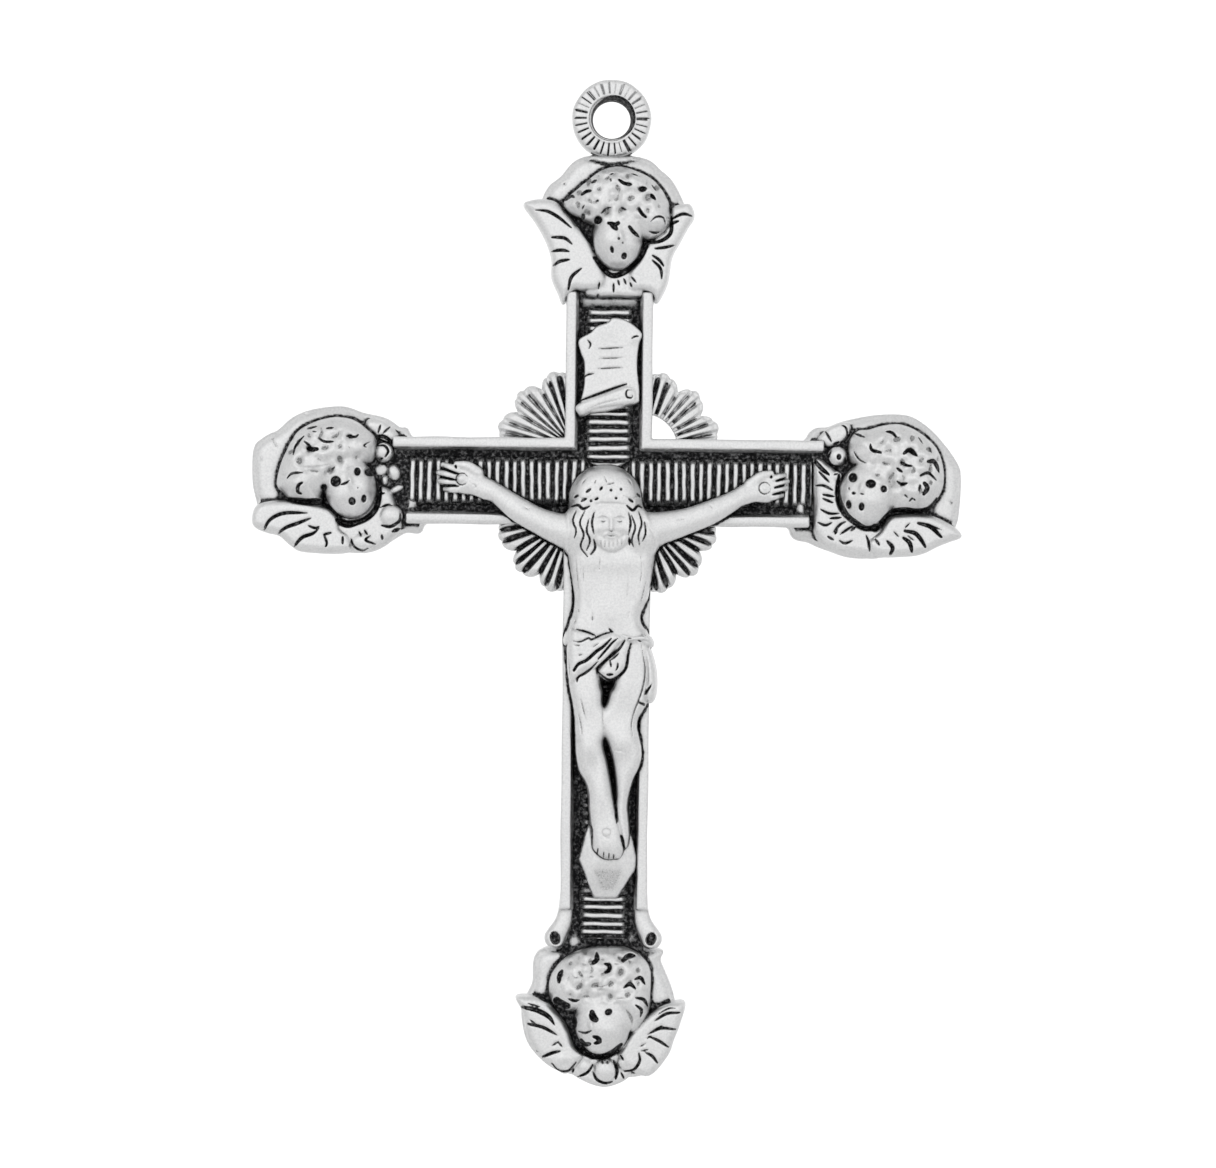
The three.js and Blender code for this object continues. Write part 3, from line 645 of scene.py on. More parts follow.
def nail(name):
    """The pin is hidden in its hole, so only the part outside and a short shank are drawn."""
    low, high = box_mm(name)
    cx, cz = (low[0] + high[0]) / 2, (low[2] + high[2]) / 2
    radius = (high[0] - low[0]) / 2
    profile = [(0.0, low[1]), (0.4, low[1] + 0.012), (0.72, low[1] + 0.045), (0.93, low[1] + 0.1),
            (1.0, low[1] + 0.16), (0.92, low[1] + 0.2), (0.6, low[1] + 0.22), (0.5, low[1] + 0.3),
            (0.5, high[1]), (0.0, high[1])]
    turn = np.linspace(0, 2 * np.pi, 40, endpoint=False)[:, None]
    r = np.array([p[0] for p in profile])[None, :] * radius * (1 + 0.03 * np.sin(3 * turn + cx))
    y = np.array([p[1] for p in profile])[None, :] + 0 * turn
    points = np.stack([cx + r * np.cos(turn), y, cz + r * np.sin(turn)], axis=-1)
    inner = points[:, 1:-1].reshape(-1, 3)
    count = len(profile) - 2
    quads = wrap_grid(len(turn), count, closed_rows=True)
    tips = np.array([[cx, profile[0][1], cz], [cx, profile[-1][1], cz]])
    n = len(inner)
    caps = []
    for i in range(len(turn)):
        j = (i + 1) % len(turn)
        caps += [[n, j * count, i * count], [n + 1, i * count + count - 1, j * count + count - 1]]
    return add_mesh(name + "_head", [name], np.vstack([inner, tips]), quads, caps)


# ---------------------------------------------------------------- the four winged heads

# Each head is drawn in millimetres from the eyelet's middle, and drawn_at is the middle of its CAD node on
# that drawing. The wings and scrolls come first, then the hair and the face, then the lines cut into them.


def cherub_top():
    """The head at the top of the upright."""
    c = Relief("cherub_top", drawn_at=(-0.17, -5.96))
    c.dome([(-4.42, -4.44), (-4.03, -4.2), (-3.38, -4.14), (-2.78, -4.29), (-2.18, -4.88), (-1.65, -5.48),
            (-1.1, -6.08), (-0.7, -6.8), (-0.45, -7.4), (-0.2, -8.2), (-0.6, -8.7), (-1.35, -8.8),
            (-1.75, -8.75), (-2.15, -9.0), (-2.4, -9.4), (-2.62, -8.9), (-2.96, -8.1), (-2.98, -7.15),
            (-3.3, -6.2), (-3.85, -5.24)], 1.0, 0.45, 0.5)
    c.dome([(3.0, -4.55), (3.6, -4.32), (4.0, -4.36), (4.17, -4.94), (3.85, -5.5), (3.48, -6.2),
            (3.06, -7.03), (2.88, -8.22), (2.55, -9.0), (2.3, -9.3), (2.1, -8.9), (1.7, -8.75),
            (1.1, -8.75), (0.85, -8.4), (0.95, -7.65), (1.35, -7.1), (1.6, -6.5), (2.3, -6.0),
            (2.9, -5.4)], 0.95, 0.4, 0.5)
    c.dome([(-1.3, -8.95), (-0.7, -7.8), (0.25, -7.4), (1.3, -7.6), (1.7, -8.95), (0.3, -9.05)], 0.74,
            0.3, 0.35, k=0.12)
    c.dome([(-2.39, -4.23), (-1.53, -3.45), (-0.58, -2.68), (0.32, -2.44), (1.21, -2.65), (2.1, -3.1),
            (2.76, -3.93), (3.0, -4.65), (3.03, -5.36), (2.4, -6.08), (1.7, -6.2), (0.4, -6.2), (-0.93, -5.5),
            (-1.75, -5.1), (-2.36, -4.7)], 1.8, 1.9, 0.45)
    c.bump(0.33, -6.1, 1.27, 1.6, 2.0, 0.75, k=0.5)
    tufts = ((-1.7, -4.4), (-0.95, -3.55), (0.0, -3.1), (1.0, -3.15), (1.9, -3.7), (2.35, -4.6), (0.9, -4.1))
    for x, z in tufts:
        c.swell(x, z, 0.4, 0.34, 0.13)
    c.curls(0.3, -4.05, 2.7, 1.35)
    c.swell(-0.2, -6.25, 0.5, 0.5, 0.1)
    c.swell(1.1, -6.55, 0.4, 0.45, 0.1)
    c.swell(0.35, -7.35, 0.35, 0.25, 0.12)
    c.swell(0.5, -6.12, 0.14, 0.32, 0.2, tilt=15)
    c.swell(-1.7, -4.6, 0.5, 0.35, 0.12)
    c.swell(2.45, -5.35, 0.42, 0.42, 0.3)
    c.lines([(-1.71, -5.2), (-1.25, -5.8), (-0.95, -6.4)], width=0.24, depth=0.3, taper=(0.8, 0.3))
    c.lines([(-0.84, -7.09), (-0.3, -7.74), (0.2, -7.98), (0.91, -7.65), (1.51, -7.03), (1.78, -6.5)],
            width=0.16, depth=0.25, taper=(0.5, 0.7))
    c.lines([(-1.9, -4.09), (-2.04, -4.0), (-2.3, -4.2)], [(-1.5, -3.98), (-1.29, -3.81), (-1.05, -3.78)],
            [(-0.98, -3.35), (-0.8, -3.24)], [(0.37, -3.22), (0.62, -3.4), (0.97, -3.45)],
            [(2.0, -3.95), (2.19, -4.17)], [(1.39, -4.68), (1.55, -4.95), (1.75, -5.1)],
            width=0.11, depth=0.22, taper=(0.6, 0.6))
    c.lines([(-0.07, -3.12), (-0.02, -3.35)], [(-0.8, -4.3), (-0.6, -4.28)], [(-0.58, -5.0), (-0.3, -4.7),
            (0.05, -4.62)], [(0.45, -4.6), (0.8, -4.78)], [(-1.5, -4.75), (-1.35, -4.5)], [(2.0, -3.4),
            (2.25, -3.75)], [(0.95, -2.85), (1.35, -2.98)], [(-0.1, -2.95), (0.1, -2.85)], width=0.055,
            depth=0.1)
    c.dot(1.57, -3.68, 0.2, 0.25, 0.75, 15)
    c.dot(-0.66, -5.24, 0.2, 0.25)
    c.dot(-1.42, -5.05, 0.1, 0.12, 1.5)
    c.lines([(-0.15, -5.42), (0.2, -5.5), (0.35, -5.42)], [(0.0, -5.55), (0.25, -5.72)], width=0.13,
            depth=0.2, taper=(0.6, 0.9))
    c.lines([(0.92, -5.6), (1.12, -5.85), (1.42, -6.08)], width=0.12, depth=0.18, taper=(0.8, 0.3))
    c.dot(0.38, -6.22, 0.07, 0.1)
    c.dot(0.585, -6.43, 0.05, 0.08)
    c.dot(0.05, -6.76, 0.09, 0.16, 2.0, 12)
    c.dot(0.66, -7.06, 0.14, 0.18, 1.2, -20)
    c.lines([(1.95, -5.35), (2.25, -5.08), (2.62, -5.1), (2.72, -5.45)], [(1.85, -5.75), (2.2, -5.85),
            (2.5, -5.75)], width=0.07, depth=0.12)
    c.lines([(3.03, -5.0), (3.0, -5.8), (2.55, -6.2), (2.0, -6.3)], width=0.12, depth=0.2, taper=(0.2, 0.6))
    c.lines([(-3.85, -4.74), (-3.26, -4.78), (-2.66, -5.09), (-2.02, -5.6)], width=0.1, depth=0.16,
            taper=(0.05, 0.4))
    c.lines([(-3.0, -6.1), (-2.36, -6.13), (-1.95, -6.45)], [(-2.98, -6.8), (-2.5, -6.74), (-2.1, -6.8)],
            [(-2.95, -7.57), (-2.6, -7.32), (-2.04, -7.2)], [(-2.13, -8.73), (-1.98, -8.1), (-1.45, -7.62)],
            width=0.1, depth=0.16, taper=(0.5, 0.2))
    c.lines([(3.05, -5.1), (3.6, -4.85), (4.07, -4.94)], [(2.22, -6.61), (2.7, -6.55), (3.18, -6.43)],
            [(2.1, -6.95), (2.45, -7.2), (2.67, -7.5)], [(2.1, -7.2), (2.5, -7.6), (2.58, -8.13)],
            [(3.0, -5.35), (3.4, -5.2)], width=0.09, depth=0.16, taper=(0.5, 0.4))
    c.lines([(-0.55, -8.3), (-0.62, -8.7)], [(-0.6, -8.9), (-0.7, -9.1)], [(0.15, -8.3), (0.15, -8.9)],
            [(0.35, -8.15), (0.45, -8.5)], [(0.65, -8.1), (0.8, -8.45)], [(1.0, -8.0), (1.3, -8.35)],
            [(0.95, -8.3), (1.1, -8.6)], width=0.07, depth=0.1)
    return c.cast("cherub_top_head")


def cherub_left():
    """The head at the left end of the crossbar."""
    c = Relief("cherub_left", drawn_at=(-14.23, -18.36))
    c.dome([(-17.75, -19.5), (-16.9, -19.24), (-15.4, -19.24), (-14.1, -19.55), (-13.6, -20.0),
            (-13.45, -20.6), (-13.0, -21.0), (-13.1, -21.8), (-15.3, -21.8), (-16.0, -21.5),
            (-16.6, -21.0), (-17.2, -20.85), (-17.8, -20.6), (-17.98, -20.2)], 0.98, 0.4, 0.45)
    c.dome([(-13.7, -19.9), (-12.9, -19.6), (-12.4, -19.3), (-12.2, -18.8), (-11.7, -18.4), (-11.0, -18.6),
            (-10.7, -19.3), (-10.3, -20.2), (-10.9, -21.2), (-12.0, -21.8), (-13.6, -21.8), (-14.6, -21.8),
            (-14.6, -20.8)], 0.76, 0.5, 0.15)
    c.bump(-11.3, -18.15, 0.22, 0.3, 0.6, 0.2)
    c.bump(-10.85, -17.75, 0.35, 0.45, 0.55, 0.2, tilt=20)
    c.bump(-10.7, -18.6, 0.4, 0.2, 0.5, 0.2, tilt=25)
    c.bump(-12.35, -21.3, 0.62, 0.5, 0.95, 0.6)
    c.bump(-10.95, -19.95, 0.6, 0.55, 1.0, 0.6)
    c.bump(-11.4, -19.05, 0.35, 0.4, 0.8, 0.4)
    c.dome([(-16.43, -18.85), (-16.74, -18.44), (-16.62, -17.6), (-16.32, -16.82), (-15.74, -15.78),
            (-14.92, -15.26), (-14.0, -15.0), (-13.42, -15.0), (-12.84, -15.14), (-12.2, -15.55),
            (-11.7, -16.1), (-11.75, -17.0), (-12.4, -17.6), (-14.3, -18.9), (-14.2, -19.5),
            (-15.2, -19.35), (-16.03, -19.2)], 1.8, 1.9, 0.45)
    c.bump(-13.0, -18.55, 1.3, 1.55, 2.0, 0.75, tilt=8, k=0.5)
    c.bump(-11.35, -16.75, 0.5, 0.5, 1.0, 0.5)
    c.dome([(-12.3, -15.6), (-12.15, -15.05), (-11.4, -15.12), (-10.8, -15.6), (-10.45, -16.1),
            (-11.2, -16.3)], 0.6, 0.4, 0.12)
    tufts = ((-15.9, -17.1), (-15.35, -16.15), (-14.35, -15.75), (-13.2, -15.6), (-12.5, -16.4),
             (-14.2, -16.75), (-13.2, -16.75), (-15.0, -17.3))
    for x, z in tufts:
        c.swell(x, z, 0.42, 0.36, 0.13)
    c.curls(-14.4, -16.7, 2.1, 1.3)
    c.swell(-13.55, -19.1, 0.45, 0.45, 0.1)
    c.swell(-12.2, -18.5, 0.35, 0.4, 0.1)
    c.swell(-12.75, -19.85, 0.35, 0.25, 0.1)
    c.swell(-12.95, -18.25, 0.14, 0.35, 0.18, tilt=12)
    c.swell(-15.6, -18.45, 0.5, 0.45, 0.3)
    c.lines([(-16.1, -19.2), (-15.2, -19.3), (-14.5, -19.3), (-14.0, -19.6)], width=0.2, depth=0.3,
            taper=(0.6, 0.5))
    c.lines([(-11.62, -17.9), (-11.55, -18.97), (-11.75, -19.66), (-12.26, -20.15), (-13.0, -20.35),
            (-13.6, -20.2)], width=0.17, depth=0.3, taper=(0.6, 0.9))
    c.lines([(-13.5, -20.35), (-13.1, -20.42), (-12.6, -20.3)], width=0.2, depth=0.3, taper=(0.7, 0.7))
    c.lines([(-15.85, -17.4), (-15.16, -17.58), (-14.35, -17.52), (-13.7, -17.29)], width=0.06,
            depth=0.07, dark=0.35)
    c.lines([(-15.1, -16.62), (-14.87, -16.68), (-14.62, -16.66)], width=0.14, depth=0.22, taper=(0.6, 0.7))
    c.lines([(-15.3, -16.26), (-15.1, -16.42), (-14.95, -16.6)], [(-14.2, -15.6), (-13.85, -15.57)],
            [(-14.58, -16.1), (-14.25, -16.28), (-13.82, -16.27)], [(-13.15, -15.98), (-12.75, -16.02),
            (-12.58, -15.88)], [(-15.85, -16.95), (-15.75, -16.5), (-15.33, -16.0)], [(-15.2, -15.62),
            (-14.7, -15.5)], width=0.08, depth=0.14, taper=(0.4, 0.5))
    c.lines([(-12.1, -16.55), (-12.3, -16.45), (-11.95, -16.2)], [(-12.85, -15.9), (-13.2, -16.0)],
            [(-14.95, -15.75), (-14.65, -15.8)], [(-13.7, -17.5), (-13.95, -17.75)], width=0.05, depth=0.08)
    c.lines([(-16.2, -18.2), (-15.9, -17.9), (-15.3, -17.84)], width=0.08, depth=0.12)
    c.lines([(-15.35, -18.35), (-15.55, -18.5), (-15.6, -18.8), (-15.45, -18.9)], width=0.11, depth=0.2,
            taper=(0.5, 0.6))
    c.dot(-13.68, -18.27, 0.27, 0.24)
    c.lines([(-13.45, -18.45), (-13.15, -18.35), (-12.95, -18.2)], width=0.08, depth=0.1)
    c.dot(-12.6, -17.77, 0.16, 0.2, 1.35)
    c.dot(-14.3, -18.56, 0.16, 0.18)
    c.dot(-11.98, -17.78, 0.27, 0.24, 0.8)
    c.dot(-12.55, -18.59, 0.045, 0.07)
    c.dot(-12.84, -19.26, 0.18, 0.2, 1.1)
    c.dot(-12.26, -19.12, 0.12, 0.18, 1.7, -8)
    c.lines([(-11.62, -16.42), (-11.3, -16.42), (-11.1, -16.7), (-11.25, -17.0)], width=0.08, depth=0.14,
            taper=(0.6, 0.6))
    c.lines([(-11.6, -17.15), (-11.35, -17.05)], [(-11.5, -15.3), (-11.65, -15.8)], [(-11.0, -15.4),
            (-11.45, -15.85)], width=0.07, depth=0.12)
    c.lines([(-11.75, -15.95), (-11.3, -15.98), (-10.85, -16.3)], width=0.12, depth=0.18, taper=(0.5, 0.2))
    c.lines([(-17.33, -20.72), (-17.0, -20.2), (-16.3, -19.88), (-15.15, -19.86)], [(-16.62, -20.9),
            (-16.2, -20.6), (-15.62, -20.38), (-14.92, -20.1)], [(-15.8, -21.55), (-15.39, -21.1),
            (-14.87, -20.9), (-14.55, -20.65)], width=0.11, depth=0.16, taper=(0.7, 0.15))
    c.lines([(-15.1, -20.5), (-14.75, -20.62), (-14.55, -20.55)], [(-14.3, -20.95), (-14.15, -21.35),
            (-14.2, -21.55)], [(-13.35, -21.0), (-13.35, -21.4)], [(-14.35, -20.95), (-13.95, -20.85)],
            width=0.08, depth=0.13, taper=(0.3, 0.7))
    c.lines([(-12.95, -21.1), (-12.8, -21.5), (-12.4, -21.72), (-12.05, -21.6)], [(-11.95, -20.95),
            (-12.2, -21.2), (-11.7, -21.4)], [(-11.4, -20.9), (-11.35, -21.2)], width=0.08, depth=0.14,
            taper=(0.3, 0.3))
    c.lines([(-11.4, -20.45), (-10.95, -20.5), (-10.5, -20.2), (-10.45, -19.8)], width=0.1, depth=0.15,
            taper=(0.5, 0.2))
    c.lines([(-11.5, -19.55), (-11.1, -19.4), (-10.85, -19.45)], [(-12.55, -20.75), (-12.4, -21.05)],
            [(-12.3, -20.65), (-12.1, -20.95)], [(-11.5, -18.85), (-11.25, -18.8)], width=0.07, depth=0.12)
    c.lines([(-10.85, -20.75), (-10.5, -20.6)], width=0.12, depth=0.14, taper=(0.5, 0.4))
    return c.cast("cherub_left_head")


def cherub_right():
    """The head at the right end of the crossbar."""
    c = Relief("cherub_right", drawn_at=(14.18, -19.03))
    c.dome([(13.75, -20.95), (14.15, -20.3), (14.9, -20.12), (15.7, -20.1), (16.4, -20.2), (17.1, -20.5),
            (17.65, -20.85), (17.9, -21.25), (17.3, -21.5), (16.7, -21.75), (16.0, -22.1), (15.2, -22.25),
            (13.6, -22.25), (13.1, -21.6)], 0.98, 0.4, 0.45)
    c.dome([(11.7, -18.0), (10.5, -17.3), (10.35, -18.6), (10.4, -19.8), (10.35, -21.0), (11.0, -21.9),
            (12.4, -22.3), (13.9, -22.3), (14.2, -20.9), (13.4, -20.1), (12.6, -19.6), (12.2, -19.0)],
           0.76, 0.55, 0.12)
    c.dome([(12.1, -17.3), (12.2, -16.4), (12.6, -15.95), (13.14, -15.88), (13.87, -15.67), (14.72, -15.6),
            (15.56, -15.9), (16.3, -16.46), (16.75, -17.08), (16.97, -17.93), (16.94, -18.77), (16.63, -19.4),
            (16.2, -19.95), (15.2, -20.05), (14.2, -19.9), (13.5, -18.8), (12.6, -18.0)], 1.8, 1.9, 0.45)
    c.bump(13.1, -19.15, 1.42, 1.68, 2.0, 0.75, tilt=-14, k=0.5)
    c.bump(11.6, -17.25, 0.52, 0.5, 1.0, 0.5)
    c.bump(11.55, -18.3, 0.32, 0.32, 0.85, 0.4)
    c.dome([(10.45, -16.55), (11.2, -15.75), (12.1, -15.5), (12.3, -16.0), (11.9, -16.6), (11.2, -16.9)],
            0.5, 0.35, 0.1)
    tufts = ((13.0, -16.6), (14.1, -16.4), (15.2, -16.5), (16.0, -17.1), (14.6, -17.4), (15.6, -17.9),
             (16.3, -18.6), (14.7, -18.3), (15.3, -19.2))
    for x, z in tufts:
        c.swell(x, z, 0.42, 0.36, 0.13)
    c.curls(15.0, -17.6, 1.9, 1.9)
    c.swell(13.4, -19.6, 0.45, 0.45, 0.1)
    c.swell(12.0, -19.3, 0.3, 0.35, 0.08)
    c.swell(12.7, -20.35, 0.35, 0.25, 0.1)
    c.swell(12.75, -18.85, 0.14, 0.3, 0.16, tilt=-15)
    c.swell(15.9, -18.9, 0.45, 0.5, 0.25)
    c.lines([(13.7, -20.55), (14.3, -20.05), (15.0, -19.95), (15.6, -20.0), (16.2, -19.85), (16.6, -19.35)],
            width=0.17, depth=0.28, taper=(0.2, 0.4))
    c.lines([(11.67, -18.2), (11.6, -18.94), (11.7, -19.6), (12.05, -20.24), (12.56, -20.65), (13.03, -20.88),
             (13.65, -20.82)], width=0.16, depth=0.3, taper=(0.4, 1.0))
    c.dot(13.5, -20.85, 0.2, 0.2)
    c.lines([(13.95, -16.0), (14.25, -16.05), (14.46, -16.25)], [(13.17, -16.62), (13.25, -16.95),
            (13.7, -17.08)], width=0.1, depth=0.18, taper=(0.15, 0.7))
    c.lines([(14.85, -17.12), (15.14, -16.95), (15.56, -17.26)], [(16.07, -17.5), (16.42, -17.5),
            (16.69, -18.04)], width=0.14, depth=0.22, taper=(0.5, 0.15))
    c.lines([(15.68, -18.22), (16.1, -18.08), (16.52, -18.43)], [(14.72, -17.57), (15.0, -17.72),
            (15.28, -17.74)], [(14.52, -18.52), (14.77, -18.66), (15.06, -18.6)], [(14.5, -17.85),
            (14.78, -18.05)], [(12.46, -16.12), (12.9, -16.3)], width=0.085, depth=0.15, taper=(0.5, 0.4))
    c.lines([(12.32, -16.94), (12.63, -17.42), (13.06, -17.64)], [(15.6, -16.25), (15.85, -16.6)],
            [(16.15, -16.75), (16.3, -17.1)], [(15.35, -19.35), (15.5, -19.5)], [(14.9, -19.15),
            (15.1, -19.35)], width=0.055, depth=0.1)
    c.lines([(15.9, -18.6), (16.05, -18.85), (15.88, -19.15)], width=0.15, depth=0.22, taper=(0.7, 0.6))
    c.lines([(15.7, -18.65), (15.62, -19.0)], [(15.35, -19.3), (15.15, -19.55)], width=0.06, depth=0.12)
    c.dot(12.32, -18.35, 0.21, 0.24, 1.15)
    c.dot(13.2, -18.66, 0.25, 0.24, 0.85)
    c.dot(13.87, -18.91, 0.17, 0.18)
    c.dot(12.35, -19.14, 0.1, 0.12, 0.8)
    c.lines([(12.1, -18.8), (12.15, -19.0)], [(12.6, -19.15), (12.9, -19.2)], width=0.05, depth=0.09)
    c.dot(12.12, -19.71, 0.13, 0.18, 1.7, 8)
    c.dot(12.75, -19.81, 0.14, 0.18, 1.5)
    c.dot(11.87, -16.69, 0.16, 0.18)
    c.dot(11.64, -17.3, 0.12, 0.16, 1.3)
    c.lines([(11.25, -17.0), (11.1, -17.4), (11.35, -17.75), (11.7, -17.75)], [(11.4, -16.65),
            (11.65, -16.55)], [(11.95, -17.3), (12.02, -17.9)], width=0.08, depth=0.14, taper=(0.4, 0.6))
    c.lines([(12.12, -16.2), (12.0, -15.8), (11.75, -15.65)], [(10.95, -15.95), (11.3, -16.55)],
            [(11.4, -18.2), (11.6, -18.12)], width=0.07, depth=0.14, taper=(0.4, 0.2))
    c.lines([(10.4, -17.45), (10.8, -17.9), (11.17, -18.2)], width=0.14, depth=0.18, taper=(0.7, 0.3))
    c.lines([(10.65, -18.05), (11.2, -18.6)], [(10.5, -18.75), (10.9, -18.75), (11.4, -19.0)],
            [(10.85, -19.2), (11.45, -19.3)], [(10.85, -19.4), (11.4, -19.62)], [(10.75, -19.95),
            (11.2, -20.15), (11.7, -20.15)], [(11.25, -20.4), (11.8, -20.35)], width=0.08, depth=0.13,
            taper=(0.5, 0.3))
    c.lines([(10.6, -20.6), (11.0, -20.75), (11.35, -20.6)], [(11.4, -21.1), (11.75, -20.7),
            (12.05, -20.55)], [(11.5, -21.2), (11.6, -20.95)], [(11.75, -21.2), (12.4, -20.75)],
            [(12.3, -21.0), (12.55, -20.8)], [(11.7, -21.5), (12.0, -21.65), (12.4, -21.5)],
            [(13.05, -21.2), (13.2, -21.6), (13.25, -22.05)], [(13.5, -21.4), (13.75, -21.75)],
            [(11.1, -21.3), (11.45, -21.5)], width=0.08, depth=0.13, taper=(0.3, 0.3))
    c.lines([(15.68, -20.6), (16.3, -20.78), (16.86, -21.3)], [(15.0, -21.0), (15.5, -21.1),
            (15.8, -21.4), (16.05, -21.8)], [(14.94, -21.35), (15.25, -21.6), (15.37, -22.05)],
            width=0.13, depth=0.17, taper=(0.6, 0.5))
    c.lines([(15.3, -20.55), (14.95, -20.9)], [(16.2, -20.65), (16.9, -20.95)], [(14.4, -21.0),
            (14.75, -21.35)], [(15.1, -21.2), (15.5, -21.5)], width=0.05, depth=0.09)
    c.lines([(14.1, -21.5), (14.4, -21.85), (14.3, -22.15)], width=0.12, depth=0.16, taper=(0.3, 0.8))
    return c.cast("cherub_right_head")


def cherub_bottom():
    """The head at the foot of the upright."""
    c = Relief("cherub_bottom", drawn_at=(-0.31, -45.48))
    c.dome([(-4.58, -44.5), (-3.9, -44.4), (-3.1, -44.55), (-2.4, -45.3), (-1.9, -46.0), (-1.6, -46.8),
            (-1.1, -47.4), (-1.9, -48.3), (-2.5, -48.15), (-3.2, -47.65), (-3.8, -46.9), (-4.05, -46.2),
            (-4.2, -45.3)], 0.98, 0.4, 0.45)
    c.dome([(3.95, -44.7), (3.2, -44.7), (2.3, -45.1), (1.5, -45.8), (0.9, -46.6), (0.6, -47.4), (1.2, -48.1),
            (2.2, -48.4), (3.1, -47.4), (3.4, -46.6), (3.7, -45.8)], 0.98, 0.4, 0.45)
    c.dome([(-2.7, -47.5), (-1.3, -47.0), (0.3, -47.1), (1.5, -47.4), (1.2, -48.45), (0.3, -48.95),
            (-0.5, -48.95), (-1.6, -48.45)], 0.66, 0.3, 0.3)
    c.bump(-2.1, -47.5, 0.68, 0.52, 1.05, 0.6, tilt=10)
    c.bump(-0.02, -48.1, 0.58, 0.62, 1.0, 0.6)
    c.bump(1.15, -47.65, 0.6, 0.5, 0.95, 0.6, tilt=15)
    c.bump(-1.05, -47.95, 0.5, 0.5, 0.8, 0.4)
    c.dome([(-2.91, -44.39), (-2.86, -43.44), (-2.38, -42.67), (-1.66, -42.16), (-0.83, -41.92),
            (0.06, -41.85), (0.96, -41.9), (1.67, -42.25), (2.12, -42.8), (2.24, -43.44), (2.2, -44.3),
            (2.15, -45.2), (1.5, -46.2), (0.6, -46.0), (-0.6, -45.4), (-1.7, -45.2), (-2.5, -45.0)], 1.8,
            1.9, 0.45)
    c.bump(-0.2, -45.72, 1.42, 1.62, 2.0, 0.75, tilt=8, k=0.5)
    tufts = ((-2.2, -43.9), (-1.7, -43.0), (-0.8, -42.6), (0.3, -42.5), (1.2, -42.9), (1.7, -43.9),
             (-1.0, -43.6), (0.2, -43.5), (1.0, -44.3))
    for x, z in tufts:
        c.swell(x, z, 0.42, 0.36, 0.13)
    c.curls(-0.3, -43.4, 2.4, 1.4)
    c.swell(0.25, -46.0, 0.5, 0.5, 0.12)
    c.swell(-1.1, -45.85, 0.35, 0.4, 0.1)
    c.swell(-0.75, -45.75, 0.13, 0.32, 0.2, tilt=18)
    c.swell(-0.6, -47.05, 0.35, 0.22, 0.1)
    c.swell(1.7, -44.8, 0.42, 0.5, 0.3)
    c.lines([(-2.5, -44.6), (-2.3, -44.8), (-2.0, -44.85)], width=0.34, depth=0.3, taper=(0.7, 0.6))
    c.lines([(-1.95, -44.45), (-1.6, -44.55), (-1.35, -44.5)], width=0.1, depth=0.16)
    c.lines([(-2.3, -45.2), (-1.9, -45.5), (-1.6, -45.65)], [(-1.95, -45.3), (-1.7, -45.55), (-1.65, -45.9)],
            width=0.24, depth=0.3, taper=(0.6, 0.6))
    c.lines([(-1.66, -46.15), (-1.48, -46.9), (-0.95, -47.33), (-0.29, -47.43)], width=0.15, depth=0.28,
            taper=(0.4, 0.9))
    c.lines([(-0.7, -47.42), (-0.1, -47.38), (0.36, -47.15), (0.75, -46.75)], width=0.22, depth=0.3,
            taper=(0.8, 0.5))
    c.lines([(-0.72, -45.1), (-0.68, -45.3), (-0.55, -45.42)], width=0.22, depth=0.24, taper=(0.7, 0.8))
    c.dot(0.1, -45.06, 0.19, 0.22, 0.8, 20)
    c.lines([(-1.4, -46.1), (-1.05, -46.13), (-0.71, -45.97)], width=0.08, depth=0.13, taper=(0.4, 0.1))
    c.lines([(-1.25, -46.55), (-1.1, -46.75), (-0.83, -46.7)], width=0.16, depth=0.2, taper=(0.7, 0.6))
    c.lines([(-0.62, -46.3), (-0.4, -46.38), (-0.35, -46.55), (-0.55, -46.65)], width=0.15, depth=0.2,
            taper=(0.6, 0.6))
    c.lines([(-2.42, -43.6), (-2.38, -43.3), (-2.25, -43.05)], [(-0.68, -42.62), (-0.52, -42.45),
            (-0.52, -42.15)], [(0.8, -42.5), (1.05, -42.3), (1.4, -42.28)], width=0.15, depth=0.22,
            taper=(0.7, 0.35))
    c.lines([(-0.12, -42.65), (0.12, -42.75), (0.1, -42.98), (-0.08, -43.08)], width=0.12, depth=0.2,
            taper=(0.4, 0.6))
    c.lines([(1.4, -43.42), (1.7, -43.36), (1.92, -43.7)], [(0.84, -43.85), (1.16, -43.66), (1.46, -43.9)],
            width=0.11, depth=0.18, taper=(0.3, 0.3))
    c.lines([(-1.8, -43.2), (-1.6, -43.35), (-1.35, -43.3)], [(-1.7, -43.85), (-1.4, -43.9),
            (-1.2, -43.6)], [(-0.9, -43.3), (-0.6, -43.25)], [(-0.7, -43.85), (-0.1, -43.75),
            (0.2, -43.6)], [(-1.3, -42.65), (-1.05, -42.7)], [(0.3, -42.6), (0.6, -42.65)],
            [(0.35, -44.45), (0.85, -44.35), (1.0, -44.5)], width=0.05, depth=0.08, dark=0.6)
    c.lines([(-0.5, -43.95), (-0.1, -43.95)], width=0.12, depth=0.08, dark=0.45)
    c.lines([(1.45, -44.35), (1.85, -44.45), (2.1, -44.85)], [(1.45, -44.7), (1.75, -44.95), (1.72, -45.35)],
            width=0.1, depth=0.16, taper=(0.3, 0.3))
    c.lines([(0.95, -44.9), (1.25, -45.4), (1.3, -45.8)], width=0.12, depth=0.12, dark=0.55)
    c.lines([(-4.23, -44.95), (-3.51, -45.1), (-2.91, -45.42), (-2.6, -45.85)], width=0.15, depth=0.18,
            taper=(0.7, 0.1))
